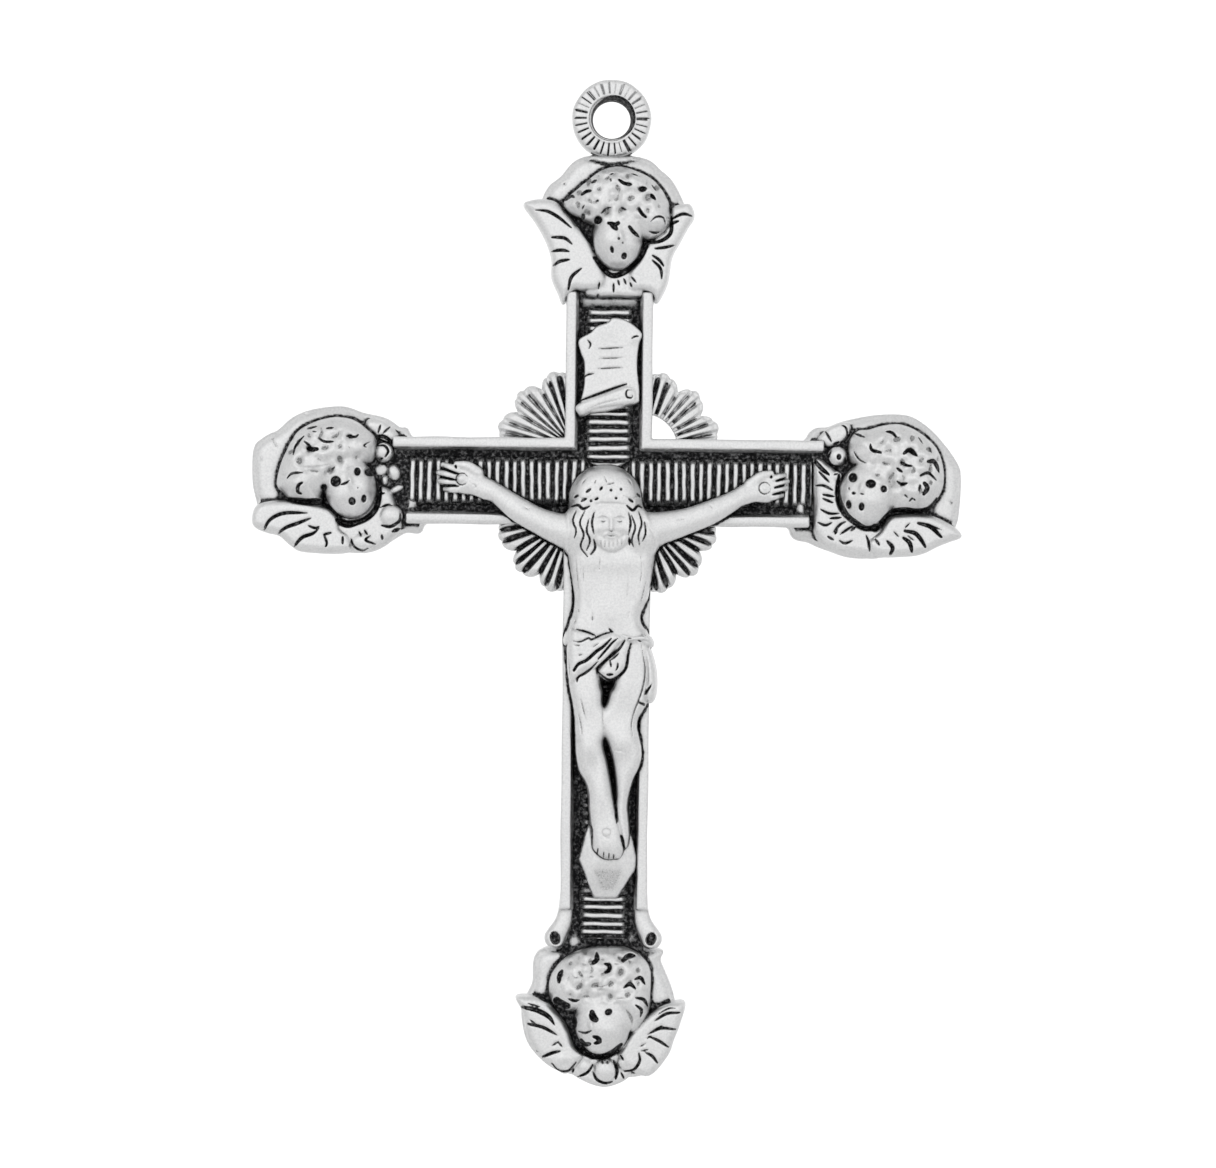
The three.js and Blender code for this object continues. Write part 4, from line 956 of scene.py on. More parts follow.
    c.lines([(-3.95, -45.8), (-3.21, -45.95), (-2.44, -46.36)], [(-3.3, -47.5), (-2.74, -47.25),
            (-2.25, -47.13)], width=0.1, depth=0.16, taper=(0.7, 0.1))
    c.lines([(-3.9, -45.55), (-3.5, -45.85)], [(-4.0, -44.75), (-3.3, -44.95)], [(-2.75, -46.9),
            (-2.4, -46.65)], [(-2.45, -46.65), (-2.2, -46.95)], [(-3.6, -47.15), (-3.4, -47.2)],
            width=0.06, depth=0.1)
    c.lines([(-3.75, -44.25), (-3.35, -44.4), (-2.95, -44.65)], width=0.17, depth=0.2, taper=(0.7, 0.6))
    c.lines([(2.39, -45.6), (3.04, -45.2), (3.7, -45.15)], [(2.1, -46.25), (2.75, -45.94), (3.5, -46.0)],
            [(2.15, -46.35), (2.7, -46.6), (3.15, -46.9)], [(1.95, -47.15), (2.33, -47.35), (2.6, -47.7)],
            width=0.09, depth=0.15, taper=(0.2, 0.5))
    c.lines([(2.5, -45.3), (3.1, -44.95), (3.6, -44.9)], [(2.3, -46.1), (2.9, -45.75)], [(2.0, -46.5),
            (2.3, -46.3)], [(1.7, -46.9), (2.0, -46.7)], [(1.75, -47.1), (2.2, -47.0)], width=0.05,
            depth=0.09)
    c.lines([(2.15, -45.2), (2.7, -44.75), (3.4, -44.5)], width=0.13, depth=0.2, taper=(0.4, 0.5))
    c.lines([(-2.75, -47.75), (-2.4, -48.1), (-1.9, -48.15), (-1.5, -47.7)], [(-1.45, -48.5),
            (-0.95, -48.25), (-0.65, -47.85)], [(-0.65, -48.2), (-0.45, -48.6), (0.0, -48.78),
            (0.35, -48.7)], [(0.36, -47.6), (0.55, -48.1), (0.5, -48.6)], [(0.9, -48.15), (1.4, -48.05),
            (1.7, -47.6), (1.65, -47.2)], width=0.09, depth=0.16, taper=(0.3, 0.4))
    c.lines([(0.75, -48.2), (0.95, -48.6)], [(-1.7, -48.3), (-1.6, -48.0)], [(0.7, -47.3), (0.9, -47.6)],
            [(-0.2, -47.6), (-0.15, -47.75)], [(0.05, -47.6), (0.08, -47.75)], width=0.07, depth=0.12)
    return c.cast("cherub_bottom_head")


# ---------------------------------------------------------------- the figure, the scroll and the footrest


def hand(c, side, palm, wrist, thumb, fingers):
    """An open hand, nailed flat: palm, thumb and four slightly curled fingers."""
    back = c.seat
    px, pz = palm
    c.limb([[wrist[0], back - 0.5, wrist[1]], [px, back - 0.3, pz]], [0.46, 0.62], k=0.2, flat=0.55)
    c.ball([px + 0.1 * side, back - 0.28, pz], [0.72, 0.3, 0.68], k=0.2)
    c.limb([[x, back - y, z] for x, y, z in thumb], [0.3, 0.24, 0.17], k=0.12, flat=0.8)
    for base, tip in fingers:
        bend = [(base[0] + tip[0]) / 2, back - 0.42, (base[1] + tip[1]) / 2]
        c.limb([[base[0], back - 0.34, base[1]], bend, [tip[0], back - 0.2, tip[1]]], [0.2, 0.2, 0.15],
                k=0.05)


def corpus():
    """The figure: trunk, legs, cloth and head in relief, and then round arms."""
    c = Relief("corpus", drawn_at=(0.11, -27.42))
    body(c)
    cloth(c)
    head(c)
    c.solid(0.05)
    arms(c)
    clear_of_mouldings(c)
    details(c)
    return c.finish("figure", ["corpus"], c.seat + BOND)


def body(c):
    """The trunk and the two legs, with one foot over the other."""
    c.dome([(-2.1, -21.3), (-2.05, -22.3), (-1.85, -23.5), (-1.74, -24.4), (-1.84, -25.1), (-2.0, -25.6),
            (-2.0, -26.8), (2.0, -26.8), (1.95, -25.95), (1.8, -25.75), (1.64, -25.45), (1.62, -25.1),
            (1.78, -24.7), (1.94, -24.35), (2.05, -23.8), (2.15, -23.1), (2.3, -22.0), (2.3, -21.2),
            (1.5, -20.5), (-1.5, -20.5)], 1.28, 0.6, 0.45)
    c.dome([(-1.95, -26.2), (-2.0, -28.0), (-1.93, -28.8), (-1.78, -29.5), (-1.67, -30.2), (-1.62, -31.0),
            (-1.6, -31.6), (-1.55, -32.3), (-1.4, -33.0), (-1.07, -33.6), (-0.92, -34.2), (-0.88, -35.0),
            (-0.8, -35.8), (-0.75, -36.8), (-0.62, -37.1), (-0.2, -37.42), (0.25, -37.47), (0.65, -37.4),
            (0.85, -37.0), (0.86, -36.4), (0.72, -35.7), (0.55, -35.2), (0.37, -34.5), (0.2, -33.5),
            (0.0, -32.5), (-0.13, -32.0), (-0.2, -31.5), (0.0, -31.0), (0.08, -30.5), (0.0, -30.0),
            (-0.26, -29.6), (-0.27, -29.0), (-0.34, -28.4), (-0.1, -27.0), (0, -26.2)], 1.25, 0.5, 0.72)
    c.dome([(0.1, -26.2), (0.3, -28.4), (0.1, -29.0), (-0.08, -29.6), (-0.45, -30.0), (-0.5, -30.5),
            (-0.36, -31.0), (-0.04, -31.5), (0.14, -32.0), (0.28, -32.5), (0.42, -33.5), (0.46, -34.3),
            (0.4, -35.0), (0.5, -35.8), (0.8, -36.6), (1.0, -36.85), (1.14, -36.2), (1.06, -35.2),
            (1.03, -34.7), (1.12, -34.1), (1.3, -33.4), (1.58, -32.8), (1.72, -32.2), (1.66, -31.6),
            (1.54, -31.1), (1.47, -30.7), (1.54, -30.3), (1.78, -29.9), (2.0, -29.3), (2.05, -28.0),
            (1.85, -26.2)], 1.2, 0.5, 0.7)
    c.lines([(-0.24, -29.8), (-0.25, -30.3), (-0.18, -30.9)], width=0.05, depth=0.06, dark=0.6)
    c.swell(-0.75, -22.4, 0.75, 0.55, 0.1)
    c.swell(1.0, -22.4, 0.75, 0.55, 0.1)
    c.swell(0.1, -25.0, 0.8, 0.7, 0.07)
    c.swell(0.12, -23.3, 0.16, 0.7, -0.06)
    c.swell(-1.0, -24.6, 0.4, 0.9, -0.05, tilt=-10)
    c.swell(1.1, -24.4, 0.35, 0.8, -0.05, tilt=15)
    c.swell(-0.9, -31.7, 0.55, 0.8, 0.22)
    c.swell(0.8, -31.4, 0.5, 0.8, 0.22)
    c.swell(-0.95, -29.4, 0.5, 1.2, 0.1)
    c.swell(0.9, -28.6, 0.6, 1.4, 0.16)
    c.swell(-0.3, -34.0, 0.3, 1.2, 0.1)
    c.swell(0.1, -36.5, 0.5, 0.7, 0.14)


def cloth(c):
    """The loincloth with its knot, its hanging end and its folds."""
    c.dome([(-1.85, -25.75), (-1.0, -25.85), (-0.5, -26.08), (0.25, -25.85), (0.7, -26.05), (1.1, -26.2),
            (0.6, -26.9), (0.1, -27.5), (-0.5, -27.95), (-1.1, -28.1), (-1.6, -28.5), (-1.95, -28.5),
            (-2.08, -27.2), (-2.05, -26.2)], 1.46, 0.5, 0.8)
    c.dome([(0.85, -26.25), (1.14, -26.5), (1.02, -27.2), (0.94, -27.7), (0.6, -28.15), (0.1, -28.42),
            (-0.27, -28.3), (-0.52, -27.9), (0.1, -27.1), (0.5, -26.6)], 1.56, 0.35, 1.1)
    c.dome([(1.65, -26.2), (2.05, -26.7), (2.4, -27.9), (2.42, -29.0), (2.2, -29.5), (1.85, -29.45),
            (1.78, -28.9), (1.85, -28.3), (1.8, -27.2)], 1.2, 0.45, 0.6)
    c.dome([(0.6, -26.0), (1.2, -26.15), (1.75, -26.1), (1.95, -26.35), (1.6, -26.4), (1.1, -26.42),
            (0.7, -26.3)], 1.42, 0.2, 1.1)
    c.lines([(-1.65, -25.86), (-1.3, -25.93), (-1.0, -26.02), (-0.65, -26.16)],
            [(-1.8, -26.45), (-1.4, -26.47), (-1.0, -26.28), (-0.85, -26.36), (-0.3, -26.1), (0.22, -25.95)],
            [(-0.02, -25.78), (0.2, -25.97)], width=0.06, depth=0.12, taper=(0.3, 0.6))
    c.lines([(-1.72, -27.92), (-1.5, -27.6), (-1.1, -27.4), (-0.6, -26.95), (-0.25, -26.7), (0.15, -26.28)],
            width=0.1, depth=0.2, taper=(0.8, 0.3))
    c.lines([(-0.52, -27.35), (-0.1, -26.85), (0.2, -26.5), (0.47, -26.28)], [(-1.56, -28.48), (-1.5, -28.25),
            (-1.15, -28.05), (-0.8, -27.75), (-0.52, -27.45)], width=0.07, depth=0.16, taper=(0.6, 0.4))
    c.lines([(0.82, -26.38), (0.55, -26.8), (0.1, -27.2), (-0.25, -27.5), (-0.56, -27.78)], width=0.09,
            depth=0.18, taper=(0.5, 0.7))
    c.lines([(0.6, -26.95), (0.3, -27.25), (0.0, -27.45)], [(0.08, -27.4), (0.16, -27.78)],
            [(0.48, -27.42), (0.46, -27.75), (0.33, -27.97)], width=0.055, depth=0.12)
    c.lines([(-0.57, -27.8), (-0.5, -28.0), (-0.2, -28.25), (0.1, -28.38), (0.5, -28.2), (0.85, -27.85),
             (0.95, -27.4), (1.0, -27.0), (1.12, -26.55)], width=0.08, depth=0.17, taper=(0.7, 0.6))
    c.lines([(-0.05, -28.12), (0.22, -28.1)], width=0.09, depth=0.14, taper=(0.6, 0.6))
    c.lines([(-1.72, -26.65), (-1.35, -26.68)], [(-1.58, -27.18), (-1.24, -27.1)], [(-0.85, -26.8),
            (-0.45, -26.5)], width=0.05, depth=0.08, dark=0.75)
    c.lines([(0.92, -26.27), (1.2, -26.28)], [(1.45, -26.38), (1.68, -26.45)], width=0.05, depth=0.1,
            dark=0.9)
    # A groove beside the hanging end, run on down the right leg; along the leg its dark fill is painted shade
    # where the leg turns away.
    c.lines([(1.66, -26.6), (1.76, -27.2), (1.86, -27.8), (1.82, -28.4), (1.68, -29.0), (1.5, -29.5),
            (1.32, -30.0), (1.2, -30.6), (1.26, -31.3)], width=0.065, depth=0.1, taper=(0.3, 0.2),
            dark=0.72)
    c.lines([(2.2, -28.58), (2.02, -28.85), (1.85, -29.12)], width=0.07, depth=0.16, taper=(0.3, 0.6))
    c.lines([(1.58, -29.5), (1.8, -29.6), (2.02, -29.66)], width=0.1, depth=0.12, taper=(0.6, 0.3), dark=0.8)
    c.lines([(-1.98, -26.95), (-1.95, -27.9), (-1.85, -28.5)], width=0.045, depth=0.05, dark=0.6)


def head(c):
    """The hair, crown and beard; the face is a plain calm one with closed eyes, laid out by rule of thumb."""
    c.dome([(-2.08, -19.4), (-1.98, -18.7), (-1.55, -18.05), (-0.95, -17.66), (-0.25, -17.54),
            (0.45, -17.66), (1.1, -18.1), (1.5, -18.7), (1.65, -19.4), (1.75, -20.0), (1.97, -20.5),
            (1.95, -21.2), (1.5, -21.9), (1.1, -21.9), (0.2, -21.5), (-0.7, -21.9), (-1.1, -22.35),
            (-1.7, -21.9), (-1.95, -21.2), (-2.1, -20.3)], 1.52, 0.95, 0.25, k=0.1)
    middle, brow, nose, mouth, chin = 0.08, -20.15, -20.85, -21.12, -21.55
    c.bump(middle, -20.55, 1.12, 1.35, 1.6, 1.0, k=0.12)
    c.dome([(-0.85, -20.9), (-0.75, -21.4), (-0.4, -21.8), (0.1, -21.98), (0.6, -21.8), (0.92, -21.4),
            (1.0, -20.9), (0.6, -21.1), (0.1, -21.2), (-0.4, -21.1)], 1.5, 0.3, 1.2, k=0.08)
    locks = ((-1.5, -20.5, 0.35, 0.9, 0.1), (-1.25, -21.5, 0.3, 0.6, 0.12), (1.45, -20.6, 0.35, 0.8, 0.1),
             (1.35, -21.4, 0.3, 0.5, 0.1), (-0.2, -19.2, 1.8, 0.32, 0.05))
    for x, z, rx, rz, lift in locks:
        c.swell(x, z, rx, rz, lift)
    for sx in (-1, 1):
        eye = middle + sx * 0.42
        c.swell(eye, brow - 0.16, 0.26, 0.16, -0.1)
        c.swell(eye, brow - 0.2, 0.16, 0.08, 0.08)
        c.lines([(eye - 0.19, brow - 0.22), (eye, brow - 0.29), (eye + 0.19, brow - 0.22)],
                width=0.05, depth=0.06, dark=0.75)
        c.lines([(middle + sx * 0.16, brow - 0.05), (eye, brow + 0.05), (eye + sx * 0.26, brow - 0.04)],
                width=0.08, depth=-0.06)
        c.swell(middle + sx * 0.55, -20.75, 0.2, 0.22, 0.05)
        c.lines([(middle + sx * 0.05, nose - 0.1), (middle + sx * 0.28, mouth + 0.06),
                (middle + sx * 0.48, mouth - 0.14)], width=0.08, depth=-0.05)
        c.lines([(middle + sx * 0.86, -19.95), (middle + sx * 0.97, -20.5), (middle + sx * 0.86, -21.1)],
                width=0.08, depth=0.16, taper=(0.4, 0.4), dark=0.8)
    c.swell(middle, (brow + nose) / 2, 0.11, 0.36, 0.13)
    c.swell(middle, nose + 0.06, 0.16, 0.12, 0.1)
    c.lines([(middle - 0.15, nose - 0.02), (middle, nose - 0.07), (middle + 0.15, nose - 0.02)],
            width=0.05, depth=0.06, dark=0.75)
    c.lines([(middle - 0.24, mouth), (middle, mouth - 0.03), (middle + 0.24, mouth)], width=0.05,
            depth=0.07, dark=0.8)
    c.swell(middle, mouth - 0.11, 0.16, 0.07, 0.05)
    for step in (-0.5, -0.3, -0.1, 0.12, 0.32, 0.52):
        c.lines([(middle + step, chin + 0.12 - abs(step) * -0.3),
                (middle + 1.05 * step, chin - 0.3 + 0.3 * abs(step))], width=0.05, depth=0.08, dark=0.55)
    c.lines([(-1.25, -19.9), (-1.5, -20.5), (-1.3, -21.1), (-1.45, -21.7), (-1.1, -22.2)], [(-1.05, -20.3),
            (-1.15, -20.9), (-0.98, -21.4), (-1.15, -21.9)], [(-1.7, -19.9), (-1.85, -20.4), (-1.68, -20.9),
            (-1.78, -21.3)], [(-0.8, -21.3), (-0.72, -21.75), (-0.95, -22.1)], [(1.1, -20.1), (1.28, -20.7),
            (1.12, -21.3), (1.2, -21.7)], [(1.45, -19.9), (1.6, -20.5), (1.45, -21.1), (1.5, -21.6)],
            [(1.75, -20.4), (1.8, -21.0), (1.65, -21.4)], [(0.98, -21.2), (1.0, -21.6)],
            width=0.075, depth=0.15, taper=(0.4, 0.5), dark=0.9)
    c.lines([(-1.95, -19.7), (-1.6, -19.62), (-1.35, -19.8), (-1.0, -19.66)], [(0.85, -19.62), (1.15, -19.85),
            (1.4, -19.62), (1.62, -19.72)], width=0.09, depth=0.14, taper=(0.5, 0.3))
    c.lines([(-0.9, -19.6), (-0.3, -19.5), (0.3, -19.52), (0.8, -19.56)], [(-1.75, -19.1), (-1.3, -19.3),
            (-0.9, -19.15)], [(0.6, -19.1), (1.1, -19.25), (1.5, -19.1)], width=0.05, depth=0.07,
            dark=0.5)
    c.lines([(-1.8, -19.25), (-1.62, -19.12)], [(-1.45, -19.42), (-1.2, -19.3)], [(-1.2, -18.98),
            (-0.98, -18.8)], [(-0.75, -19.35), (-0.6, -19.25)], [(0.95, -19.3), (1.15, -19.42)],
            [(1.35, -19.0), (1.5, -19.15)], [(-0.5, -18.85), (-0.4, -18.7)], width=0.08, depth=0.12,
            taper=(0.5, 0.7))
    for x, z in ((0.05, -18.85), (0.55, -18.8), (-0.95, -19.4), (0.3, -19.25)):
        c.dot(x, z, 0.075, 0.1)
    c.lines([(-0.3, -18.1), (-0.15, -18.55)], [(0.35, -18.45), (-0.3, -18.62)], [(-1.2, -18.25),
            (-1.45, -18.6)], [(0.9, -18.25), (1.1, -18.6)], [(-0.7, -18.3), (-0.8, -18.6)], width=0.05,
            depth=0.06, dark=0.7)


def arms(c):
    """Round limbs, stretched out over the mouldings; hands flat on the ribbed panels."""
    over = RIM_CREST - 0.05
    left = [(-1.3, -20.9, 0.8), (-2.4, -20.85, 0.8), (-3.6, -20.4, 0.65), (-4.5, -19.92, 0.62),
            (-5.3, -19.36, 0.53), (-6.0, -18.86, 0.45), (-6.5, -18.6, 0.4)]
    right = [(1.4, -20.75, 0.8), (2.5, -20.72, 0.8), (3.9, -20.35, 0.65), (5.0, -19.93, 0.6),
            (6.0, -19.42, 0.5), (6.7, -19.0, 0.44), (7.1, -18.8, 0.4)]
    for chain in (left, right):
        depths = [over - 0.5, over - 0.56, over - 0.52, over - 0.45, over - 0.32, over - 0.12, over + 0.02]
        points = [[x + c.shift[0], y, z] for (x, z, _), y in zip(chain, depths)]
        c.limb(points, [r for _, _, r in chain], k=0.45, flat=0.75)
        inner = np.sign(chain[0][0])
        c.ball([1.75 * inner + c.shift[0], over - 0.42, -21.05], [0.8, 0.62, 0.85], k=0.5)
    dx = c.shift[0]
    hand(c, -1, (-7.2 + dx, -18.4), (-6.3 + dx, -18.9),
         [(-6.7 + dx, 0.45, -18.0), (-7.2 + dx, 0.5, -17.68), (-7.75 + dx, 0.4, -17.6)],
         [((-7.6 + dx, -17.95), (-8.45 + dx, -17.62)), ((-7.7 + dx, -18.25), (-8.65 + dx, -18.02)),
          ((-7.7 + dx, -18.55), (-8.6 + dx, -18.45)), ((-7.55 + dx, -18.85), (-8.3 + dx, -18.85))])
    hand(c, 1, (7.75 + dx, -18.68), (6.95 + dx, -18.95),
         [(7.1 + dx, 0.45, -18.45), (7.6 + dx, 0.5, -18.05), (8.1 + dx, 0.4, -17.9)],
         [((8.1 + dx, -18.25), (8.78 + dx, -17.98)), ((8.2 + dx, -18.52), (8.92 + dx, -18.28)),
          ((8.15 + dx, -18.82), (8.88 + dx, -18.62)), ((8.0 + dx, -19.1), (8.65 + dx, -18.98))])


def clear_of_mouldings(c):
    """The limbs pass in front of the mouldings, never into them."""
    x, z = c.plane()
    u, v = np.abs(x) - RIM_MIDDLE, np.abs(z - CROSS_Z) - RIM_MIDDLE
    side = np.abs(np.minimum(u + 0 * v, v + 0 * u)) - RIM_WIDTH / 2 - 0.03
    y = c.axes[1][None, :, None]
    rim = np.maximum(side[:, None, :], RIM_CREST - 0.03 - y).astype(np.float32)
    c.d = smax(c.d, -rim, 0.03)


def details(c):
    """Fingers, nail marks, faint grey lines on the trunk, and toes."""
    c.lines([(-8.45, -17.78), (-8.0, -17.98), (-7.6, -18.1)], [(-8.55, -18.22), (-8.05, -18.35),
            (-7.75, -18.4)], [(-8.4, -18.65), (-7.95, -18.68), (-7.6, -18.72)], [(8.35, -18.28),
            (8.9, -18.12)], [(8.3, -18.62), (8.85, -18.45)], [(8.2, -18.98), (8.8, -18.8)], width=0.075,
            depth=0.12, taper=(0.7, 0.2))
    c.lines([(8.15, -17.98), (8.1, -18.18)], [(-7.85, -17.62), (-7.75, -17.85)], width=0.07, depth=0.1)
    for x, z in ((-7.47, -18.34), (7.8, -18.65)):
        turns = np.linspace(0.4, 2 * math.pi + 0.1, 9)
        ring = [(x + 0.3 * math.cos(a), z + 0.3 * math.sin(a)) for a in turns]
        c.lines(ring, width=0.05, depth=0.06, taper=(0.6, 0.3), dark=0.9)
    c.lines([(-7.0, -18.55), (-6.75, -18.7), (-6.9, -18.85)], [(-4.35, -19.65), (-4.15, -19.85),
            (-3.95, -19.75)], [(5.0, -19.5), (5.2, -19.75)], [(3.3, -20.3), (3.9, -20.25)], width=0.05,
            depth=0.05, dark=0.55)
    c.lines([(0.42, -22.7), (0.45, -23.6)], [(-0.8, -24.95), (-0.85, -25.5)], [(1.05, -24.9), (0.95, -25.35)],
            [(-1.5, -22.2), (-1.45, -23.2)], width=0.06, depth=0.04, dark=0.35)
    c.lines([(-1.72, -21.9), (-1.62, -23.0), (-1.5, -24.2)], [(-1.32, -22.6), (-1.28, -23.6)],
            [(0.95, -23.4), (0.9, -24.4)], [(1.55, -22.0), (1.62, -22.9), (1.5, -23.8)], [(-0.45, -22.0),
            (-0.5, -22.9)], width=0.055, depth=0.04, dark=0.56)
    c.lines([(1.85, -23.4), (1.72, -24.0), (1.55, -24.65)], [(-1.55, -24.8), (-1.5, -25.0)],
            [(-1.75, -25.6), (-1.62, -25.3)], [(-0.85, -25.15), (-0.8, -25.45)], width=0.055, depth=0.06,
            dark=0.6)
    c.lines([(-0.75, -35.75), (-0.72, -36.3), (-0.74, -36.85), (-0.45, -37.2), (-0.15, -37.42), (0.2, -37.47),
             (0.62, -37.4)], width=0.075, depth=0.14, taper=(0.4, 0.4))
    c.lines([(0.72, -36.2), (0.82, -36.45), (0.9, -36.85)], [(0.45, -34.7), (0.52, -35.6)],
            width=0.08, depth=0.12, taper=(0.6, 0.3))
    for x, z in ((-0.42, -37.0), (-0.12, -37.2), (0.14, -37.27), (0.38, -37.3)):
        c.lines([(x, z + 0.22), (x - 0.02, z - 0.1)], width=0.05, depth=0.08, taper=(0.2, 0.6), dark=0.9)
    # painted shade: grey lines along the left thigh, where its side turns away from the front
    c.lines([(-1.4, -29.2), (-1.25, -29.8), (-1.05, -30.55)], [(-1.5, -30.0), (-1.36, -30.6), (-1.25, -31.3)],
            width=0.06, depth=0.06, dark=0.6)
    c.lines([(0.3, -31.9), (0.9, -32.0)], [(-0.15, -36.2), (0.1, -36.35), (0.3, -36.2)],
            width=0.06, depth=0.04, dark=0.35)


def titulus():
    """A parchment with a rolled lower end, marked with plain ruled lines."""
    c = Relief("titulus_scroll", drawn_at=(-0.11, -12.54))
    c.dome([(-1.6, -11.25), (-1.0, -10.85), (-0.7, -10.55), (-0.15, -10.35), (0.1, -10.12), (0.6, -10.17),
            (1.1, -10.4), (1.6, -10.9), (1.47, -11.4), (1.38, -12.2), (1.4, -12.9), (1.5, -14.0),
            (1.2, -14.5), (-1.3, -14.9), (-1.3, -13.4), (-1.32, -12.4), (-1.5, -11.9)], 0.42, 0.12, 0.2,
            steps=4)
    c.swell(0.0, -12.3, 0.7, 1.4, -0.08)
    c.swell(1.25, -11.15, 0.3, 0.3, 0.08)
    c.dome([(-1.75, -14.65), (-1.35, -14.3), (-0.4, -13.95), (0.4, -13.65), (0.9, -13.5), (1.35, -13.75),
            (1.38, -14.3), (1.1, -14.55), (-0.5, -14.77), (-1.35, -15.12), (-1.6, -15.0)], 0.56, 0.3, 0.15)
    c.lines([(-1.45, -14.3), (-0.4, -13.9), (0.4, -13.6), (0.85, -13.45)], width=0.08, depth=0.14,
            taper=(0.5, 0.5))
    c.lines([(-1.3, -14.85), (-0.5, -14.5), (0.4, -14.25), (0.85, -14.15)], width=0.05, depth=0.06, dark=0.5)
    c.lines([(1.1, -13.75), (0.85, -13.8), (0.85, -14.1), (1.1, -14.15), (1.18, -13.95)], width=0.06,
            depth=0.1)
    c.lines([(-1.35, -13.15), (-1.1, -13.0), (-0.8, -12.95)], [(1.0, -11.2), (1.25, -11.05), (1.5, -11.02)],
            [(-1.2, -11.2), (-1.0, -11.45), (-1.1, -11.75)], width=0.06, depth=0.1)
    for z in (-11.65, -12.15, -12.65):
        c.lines([(-0.62, z - 0.04), (0.66, z + 0.03)], width=0.05, depth=0.07, taper=(0.5, 0.4), dark=0.8)
    return c.cast("titulus_parchment")


def footrest():
    """A wedge: its top slopes forward to a ridge, and its underside falls back to the plate."""
    c = Relief("footrest", step=PLAIN, drawn_at=(-0.18, -37.43))
    outline = [(-0.9, -35.5), (-1.15, -36.2), (-1.47, -37.5), (-1.2, -38.1), (-0.95, -38.8), (-0.66, -39.45),
               (0.5, -39.45), (0.95, -38.7), (1.4, -38.0), (1.46, -37.4), (1.3, -36.6), (0.95, -35.4)]
    d = within(c.x, c.z, np.array(outline) + c.shift)
    dz, dx = c.z - c.shift[1], np.abs(c.x - c.shift[0] - 0.02)
    upper = 0.42 + 0.34 * ramp(-dz, 35.4, 37.7) + 0.03
    lower = 0.8 - 0.5 * (-dz - 37.55) / 1.9
    face = smin(upper, lower, 0.05)
    bevel = 1.1 - 0.75 * dx / 1.46 - 0.1 * ramp(-dz, 37.4, 39.4)
    face = smin(face, bevel + 0 * face, 0.05)
    c.height = np.where(d < 0, face - 0.1 * ramp(d, -0.12, 0), 0.25 - 8 * d).astype(np.float32)
    # the underside is speckled darker: its unpolished grain, and painted shade on the face that turns down
    # and away
    rough = ramp(-dz, 37.5, 38.1) * (1 - ramp(-dz, 38.9, 39.4)) * (1 - ramp(dx + 0.35 * (-dz - 37.7),
            0.7, 1.2))
    c.ink = (0.46 * rough).astype(np.float32)
    return c.cast("footrest_wedge")


# ---------------------------------------------------------------- silver, its oxide and the shade painted on it


def front_heights(shown):
    """How far forward those pieces reach, on a grid over the whole front."""
    step = 0.05
    low, high = np.array(cad_low) / MM - 1.5, np.array(cad_high) / MM + 1.5
    shape = (int((high[0] - low[0]) / step) + 1, int((high[2] - low[2]) / step) + 1)
    heights = np.full(shape, -PLATE_BACK - 3.0, np.float32)
    for piece in shown:
        points = mesh_points(piece.data) / MM
        i = np.rint((points[:, 0] - low[0]) / step).astype(int)
        j = np.rint((points[:, 2] - low[2]) / step).astype(int)
        np.maximum.at(heights, (i, j), -points[:, 1].astype(np.float32))
    return heights, low, step


def mesh_points(mesh, what="co"):
    """The place of each vertex in metres, or another of its vectors."""
    points = np.empty(len(mesh.vertices) * 3, np.float32)
    mesh.vertices.foreach_get(what, points)
    return points.reshape(-1, 3)


def shifted(field, i, j, fill):
    """The field moved by i and j cells, with fill where nothing moves in."""
    out = np.full_like(field, fill)
    a, b = field.shape
    out[max(i, 0):a + min(i, 0), max(j, 0):b + min(j, 0)] = field[max(-i, 0):a + min(-i, 0),
            max(-j, 0):b + min(-j, 0)]
    return out


def rolled(field, radius, step, coarse=1, flat=False):
    """What a ball of that radius, or a flat disc, leaves untouched: a greyscale closing."""
    small = field[::coarse, ::coarse]
    reach = radius / (step * coarse)
    n = int(reach)
    offsets = [(i, j) for i in range(-n, n + 1) for j in range(-n, n + 1) if i * i + j * j <= reach * reach]
    cap = {}
    for i, j in offsets:
        rest = max(radius**2 - (i * i + j * j) * (step * coarse) ** 2, 0)
        cap[i, j] = 0.0 if flat else radius - math.sqrt(rest)
    touched = np.full_like(small, -FAR)
    for (i, j), sag in cap.items():
        np.maximum(touched, shifted(small, i, j, -FAR) - sag, out=touched)
    closed = np.full_like(small, FAR)
    for (i, j), sag in cap.items():
        np.minimum(closed, shifted(touched, i, j, FAR) + sag, out=closed)
    return closed


def smooth(field, times):
    """Softens the field a little, times over."""
    for _ in range(times):
        field = (2 * field + np.roll(field, 1, 0) + np.roll(field, -1, 0)) / 4
        field = (2 * field + np.roll(field, 1, 1) + np.roll(field, -1, 1)) / 4
    return field


def around(field, reach):
    """The highest value within that many cells."""
    span = range(-reach, reach + 1)
    return np.max([shifted(field, i, j, -FAR) for i in span for j in span], axis=0)


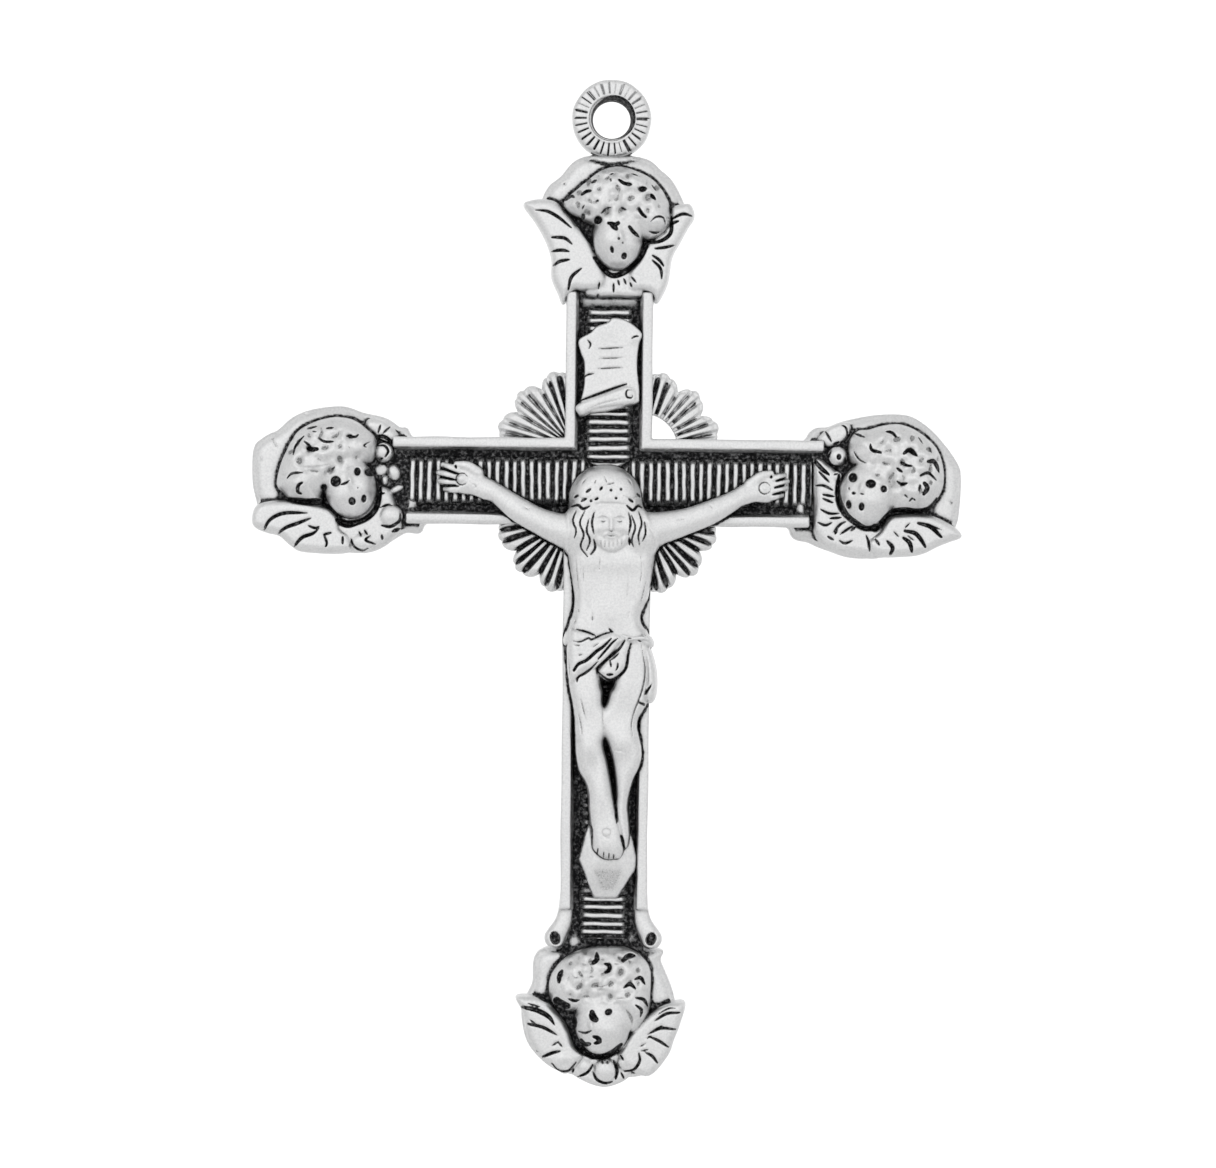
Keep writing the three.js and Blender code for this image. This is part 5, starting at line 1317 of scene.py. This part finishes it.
def leave_oxide_and_shade():
    """Stores on each vertex how deep it lies below where a polishing ball and a flat buff touch; the oxide
    and the painted slope shade are laid from these.
    """
    heights, low, step = front_heights(pieces)
    base, low, step = front_heights([piece for piece in pieces if piece.name.startswith("pendant")])
    empty = -PLATE_BACK - 1
    for _ in range(2):  # close pinholes between the vertices
        heights = np.where(heights < empty, around(heights, 1), heights)
        base = np.where(base < empty, around(base, 1), base)
    fine = smooth(rolled(heights, BALL, step), 1)
    wide = smooth(rolled(heights, BUFF, step, coarse=2, flat=True), 1)
    mean = smooth(heights, 5)
    crest = around(heights, 2)
    edges = [smooth(around(1.0 * (field < empty), 6), 1) for field in (heights, base)]
    corner = low[[0, 2]]
    for piece in pieces:
        points = mesh_points(piece.data) / MM
        y = points[:, 1]
        edge = edges[piece.name.startswith(("pendant", "border"))]
        worn = ramp(sample(edge, corner, step, points), 0.2, 0.6)
        worn = worn * ramp(sample(crest, corner, step, points) + y, 0.05, 0.18)
        if not piece.name.startswith("pendant"):
            worn = worn * ramp(mesh_points(piece.data, "normal")[:, 1], -0.65, -0.35)
        if piece.name.startswith("eyelet"):
            worn = worn * ramp(np.hypot(points[:, 0], points[:, 2]), 1.3, 1.5)
        if piece.name.startswith(("pendant", "ray", "eyelet")):
            worn = np.maximum(worn, ramp(y, y.max() - 0.14, y.max() - 0.04))
        kept = 1 - worn  # the outer sides and the back are rubbed clean
        drawn = piece.name.startswith(("ribbed", "ray"))
        near = sample(fine, corner, step, points) + y
        keep_values(piece, "near_pit", 0 * near if drawn else near * kept)
        keep_values(piece, "far_pit", (sample(wide, corner, 2 * step, points) + y) * kept)
        keep_values(piece, "hollow", (sample(mean, corner, step, points) + y) * kept)
        ink = np.zeros(len(points), np.float32)
        if piece.data.attributes.get("ink"):
            piece.data.attributes["ink"].data.foreach_get("value", ink)
        keep_values(piece, "ink", ink * kept)


class Nodes:
    """A little shorthand for building a node tree."""

    def __init__(self, tree):
        self.tree = tree
        tree.nodes.clear()

    def add(self, kind, inputs=(), **settings):
        node = self.tree.nodes.new(kind)
        for key, value in settings.items():
            setattr(node, key, value)
        for key, value in dict(inputs).items():
            socket = node.inputs[key]
            if isinstance(value, bpy.types.NodeSocket):
                self.tree.links.new(value, socket)
            else:
                socket.default_value = value
        return node

    def math(self, operation, *values, clamp=False):
        return self.add("ShaderNodeMath", dict(enumerate(values)), operation=operation,
                use_clamp=clamp).outputs[0]

    def scale(self, value, start, end, low=0.0, high=1.0):
        inputs = {"Value": value, "From Min": start, "From Max": end, "To Min": low, "To Max": high}
        return self.add("ShaderNodeMapRange", inputs, interpolation_type="SMOOTHSTEP").outputs[0]

    def noise(self, where, per_mm, detail=3.0, rough=0.6):
        inputs = {"Vector": where, "Scale": per_mm / MM, "Detail": detail, "Roughness": rough}
        return self.add("ShaderNodeTexNoise", inputs).outputs["Fac"]

    def attribute(self, name):
        return self.add("ShaderNodeAttribute", attribute_name=name).outputs["Fac"]


def silver_material(name, shine):
    """Bright rubbed silver on the high places, painted grey shade on the slopes beside the pits, black oxide
    in the pits.
    """
    material = bpy.data.materials.new(name)
    material.use_nodes = True
    n = Nodes(material.node_tree)
    where = n.add("ShaderNodeTexCoord").outputs["Object"]
    speckle = n.noise(where, 9.0, 4.0, 0.7)
    cloud = n.noise(where, 0.9, 3.0, 0.55)
    grain = n.noise(where, 22.0, 2.0, 0.6)
    blotch = n.noise(where, 6.0, 3.0, 0.65)
    jitter = n.math("MULTIPLY", n.math("SUBTRACT", speckle, 0.5), 0.2)
    drift = n.math("MULTIPLY", n.math("SUBTRACT", cloud, 0.5), 0.08)
    pit = n.math("ADD", n.attribute("near_pit"), n.math("MULTIPLY", n.attribute("hollow"), 0.4))
    pit = n.math("ADD", pit, n.math("ADD", jitter, drift))
    near = n.scale(pit, 0.03, 0.22)
    deep = n.scale(n.math("ADD", n.attribute("far_pit"), n.math("ADD", jitter, drift)), 0.32, 0.62)
    ragged = n.math("ADD", n.math("MULTIPLY", jitter, 2.2),
            n.math("MULTIPLY", n.math("SUBTRACT", grain, 0.5), 0.5))
    drawn = n.scale(n.math("ADD", n.attribute("ink"), ragged), 0.3, 0.8)
    # the oxide, and through the ink the shade painted on the bore, footrest, legs, fans and ribs
    oxide_and_drawn_shade = n.math("MAXIMUM", n.math("MAXIMUM", near, deep), drawn)
    # painted shade: a soft grey laid on the slopes just outside the pits
    painted_slope_shade = n.scale(n.math("ADD", n.attribute("near_pit"), n.math("MULTIPLY", cloud, 0.04)), 0.0, 0.12,
            0.0, 0.22)
    dark = n.math("MAXIMUM", oxide_and_drawn_shade, painted_slope_shade)
    ground = n.add("ShaderNodeMix", {"Factor": n.scale(blotch, 0.44, 0.74), "A": (0.016, 0.016, 0.017, 1),
                                     "B": (0.28, 0.28, 0.285, 1)}, data_type="RGBA")
    bright = n.add("ShaderNodeMix", {"Factor": n.scale(speckle, 0.3, 0.7), "A": (0.78, 0.785, 0.79, 1),
                                     "B": (0.92, 0.92, 0.92, 1)}, data_type="RGBA")
    color = n.add("ShaderNodeMix", {"Factor": dark}, data_type="RGBA")
    for source, target in ((bright, 6), (ground, 7)):
        n.tree.links.new(source.outputs[2], color.inputs[target])
    rough = n.math("ADD", n.scale(oxide_and_drawn_shade, 0.0, 1.0, shine, 0.62),
            n.math("MULTIPLY", n.math("SUBTRACT", grain, 0.5), 0.14))
    height = n.math("ADD", n.math("MULTIPLY", grain, 0.5), n.math("MULTIPLY", speckle, 0.5))
    height = n.math("MULTIPLY", height, n.scale(oxide_and_drawn_shade, 0.0, 1.0, 0.35, 1.0))
    bump = n.add("ShaderNodeBump", {"Strength": 0.35, "Distance": 0.03 * MM, "Height": height})
    shader = n.add("ShaderNodeBsdfPrincipled", {
        "Base Color": color.outputs[2], "Roughness": rough, "Metallic": 1.0, "Normal": bump.outputs[0]})
    n.add("ShaderNodeOutputMaterial", {"Surface": shader.outputs[0]})
    return material


# ---------------------------------------------------------------- stage, light and camera


def stage():
    """A pale floor well below the pendant."""
    bpy.ops.mesh.primitive_circle_add(vertices=96, radius=0.45, fill_type="NGON",
            location=(0, 0, cad_low[2] - 0.07))
    floor = bpy.context.object
    floor.name = "pale_floor"
    material = bpy.data.materials.new("pale_floor")
    material.use_nodes = True
    n = Nodes(material.node_tree)
    where = n.add("ShaderNodeTexCoord").outputs["Object"]
    tone = n.add("ShaderNodeMix", {"Factor": n.noise(where, 0.05), "A": (0.86, 0.86, 0.86, 1),
                                   "B": (0.9, 0.9, 0.9, 1)}, data_type="RGBA")
    shader = n.add("ShaderNodeBsdfPrincipled", {"Base Color": tone.outputs[2], "Roughness": 0.9})
    n.add("ShaderNodeOutputMaterial", {"Surface": shader.outputs[0]})
    floor.data.materials.append(material)


def world():
    """A white studio: bright before and behind the object, greyer at its sides, so that the relief reads."""
    space = bpy.data.worlds.new("studio")
    bpy.context.scene.world = space
    space.use_nodes = True
    n = Nodes(space.node_tree)
    where = n.add("ShaderNodeTexCoord").outputs["Generated"]
    axis = n.add("ShaderNodeSeparateXYZ", {"Vector": where}).outputs
    facing = n.math("MULTIPLY", axis[1], -1.0)
    front = n.scale(facing, -0.1, 0.95, 0.0, 1.0)
    rear = n.scale(axis[1], 0.2, 0.9, 0.0, 1.0)
    upper = n.scale(axis[2], -0.6, 0.9, 0.0, 1.0)
    level = n.math("ADD", 0.76, n.math("MULTIPLY", front, 0.24))
    level = n.math("ADD", level, n.math("MULTIPLY", rear, 0.2))
    level = n.math("ADD", level, n.math("MULTIPLY", upper, -0.08))
    eye = n.add("ShaderNodeLightPath").outputs["Is Camera Ray"]
    strength = n.add("ShaderNodeMix", {"Factor": eye, "A": level, "B": 1.15}, data_type="FLOAT")
    sky = n.add("ShaderNodeBackground", {"Color": (1, 1, 1, 1), "Strength": strength.outputs[0]})
    n.add("ShaderNodeOutputWorld", {"Surface": sky.outputs[0]})


def area_light(name, place, size, watts, target):
    """A round lamp that faces the target."""
    data = bpy.data.lights.new(name, "AREA")
    data.shape, data.size, data.energy = "DISK", size, watts
    lamp = bpy.data.objects.new(name, data)
    bpy.context.scene.collection.objects.link(lamp)
    lamp.location = place
    aim = np.array(target) - np.array(place)
    lamp.rotation_mode = "QUATERNION"
    lamp.rotation_quaternion = Vector(aim).to_track_quat("-Z", "Y")


VIEW_WIDTH = 61.4  # how much the frame takes in from side to side, mm
VIEW_MIDDLE = (0.06, -1.0, -23.56)  # what the middle of the frame looks at, mm
ROLL = -0.6  # degrees


def camera():
    """Square on to the front, a long lens, rolled a little as the pendant lies."""
    data = bpy.data.cameras.new("camera")
    data.lens, data.sensor_width = 120.0, 36.0
    data.clip_start, data.clip_end = 0.01, 10.0
    eye = bpy.data.objects.new("camera", data)
    bpy.context.scene.collection.objects.link(eye)
    distance = VIEW_WIDTH * data.lens / data.sensor_width
    eye.location = (VIEW_MIDDLE[0] * MM, (VIEW_MIDDLE[1] - distance) * MM, VIEW_MIDDLE[2] * MM)
    eye.rotation_euler = (math.radians(90), math.radians(ROLL), 0)
    bpy.context.scene.camera = eye


# ---------------------------------------------------------------- everything, in order


def build():
    """Makes every piece; the order also sets the order of the random draws."""
    cross_plate()
    corners = ((-1, 1, "upper_left"), (1, 1, "upper_right"), (-1, -1, "lower_left"), (1, -1, "lower_right"))
    for sx, sz, where in corners:
        border_moulding(sx, sz, "border_moulding_" + where)
        ray_fan(sx, sz, "ray_fan_" + where)
    for where, direction in (("top", (0, 1)), ("bottom", (0, -1)), ("left", (-1, 0)), ("right", (1, 0))):
        ribbed_panel("ribbed_panel_" + where, direction)
    eyelet()
    cherub_top()
    cherub_left()
    cherub_right()
    cherub_bottom()
    titulus()
    footrest()
    corpus()
    for name in ("nail_left_hand", "nail_right_hand", "nail_feet"):
        nail(name)


build()
leave_oxide_and_shade()
silver = silver_material("antiqued_silver", 0.4)
oxidised = silver_material("oxidised_silver", 0.42)
for piece in pieces:
    piece.data.materials.append(oxidised if piece.name.startswith(("ribbed", "ray")) else silver)
for node in frame["nodes"].values():
    node.data.materials.clear()
    node.data.materials.append(silver)

stage()
world()
area_light("key", (-0.16, -0.3, 0.16), 0.3, 0.03, (0, 0, -0.02))
camera()
bpy.context.scene.view_settings.view_transform = "Standard"
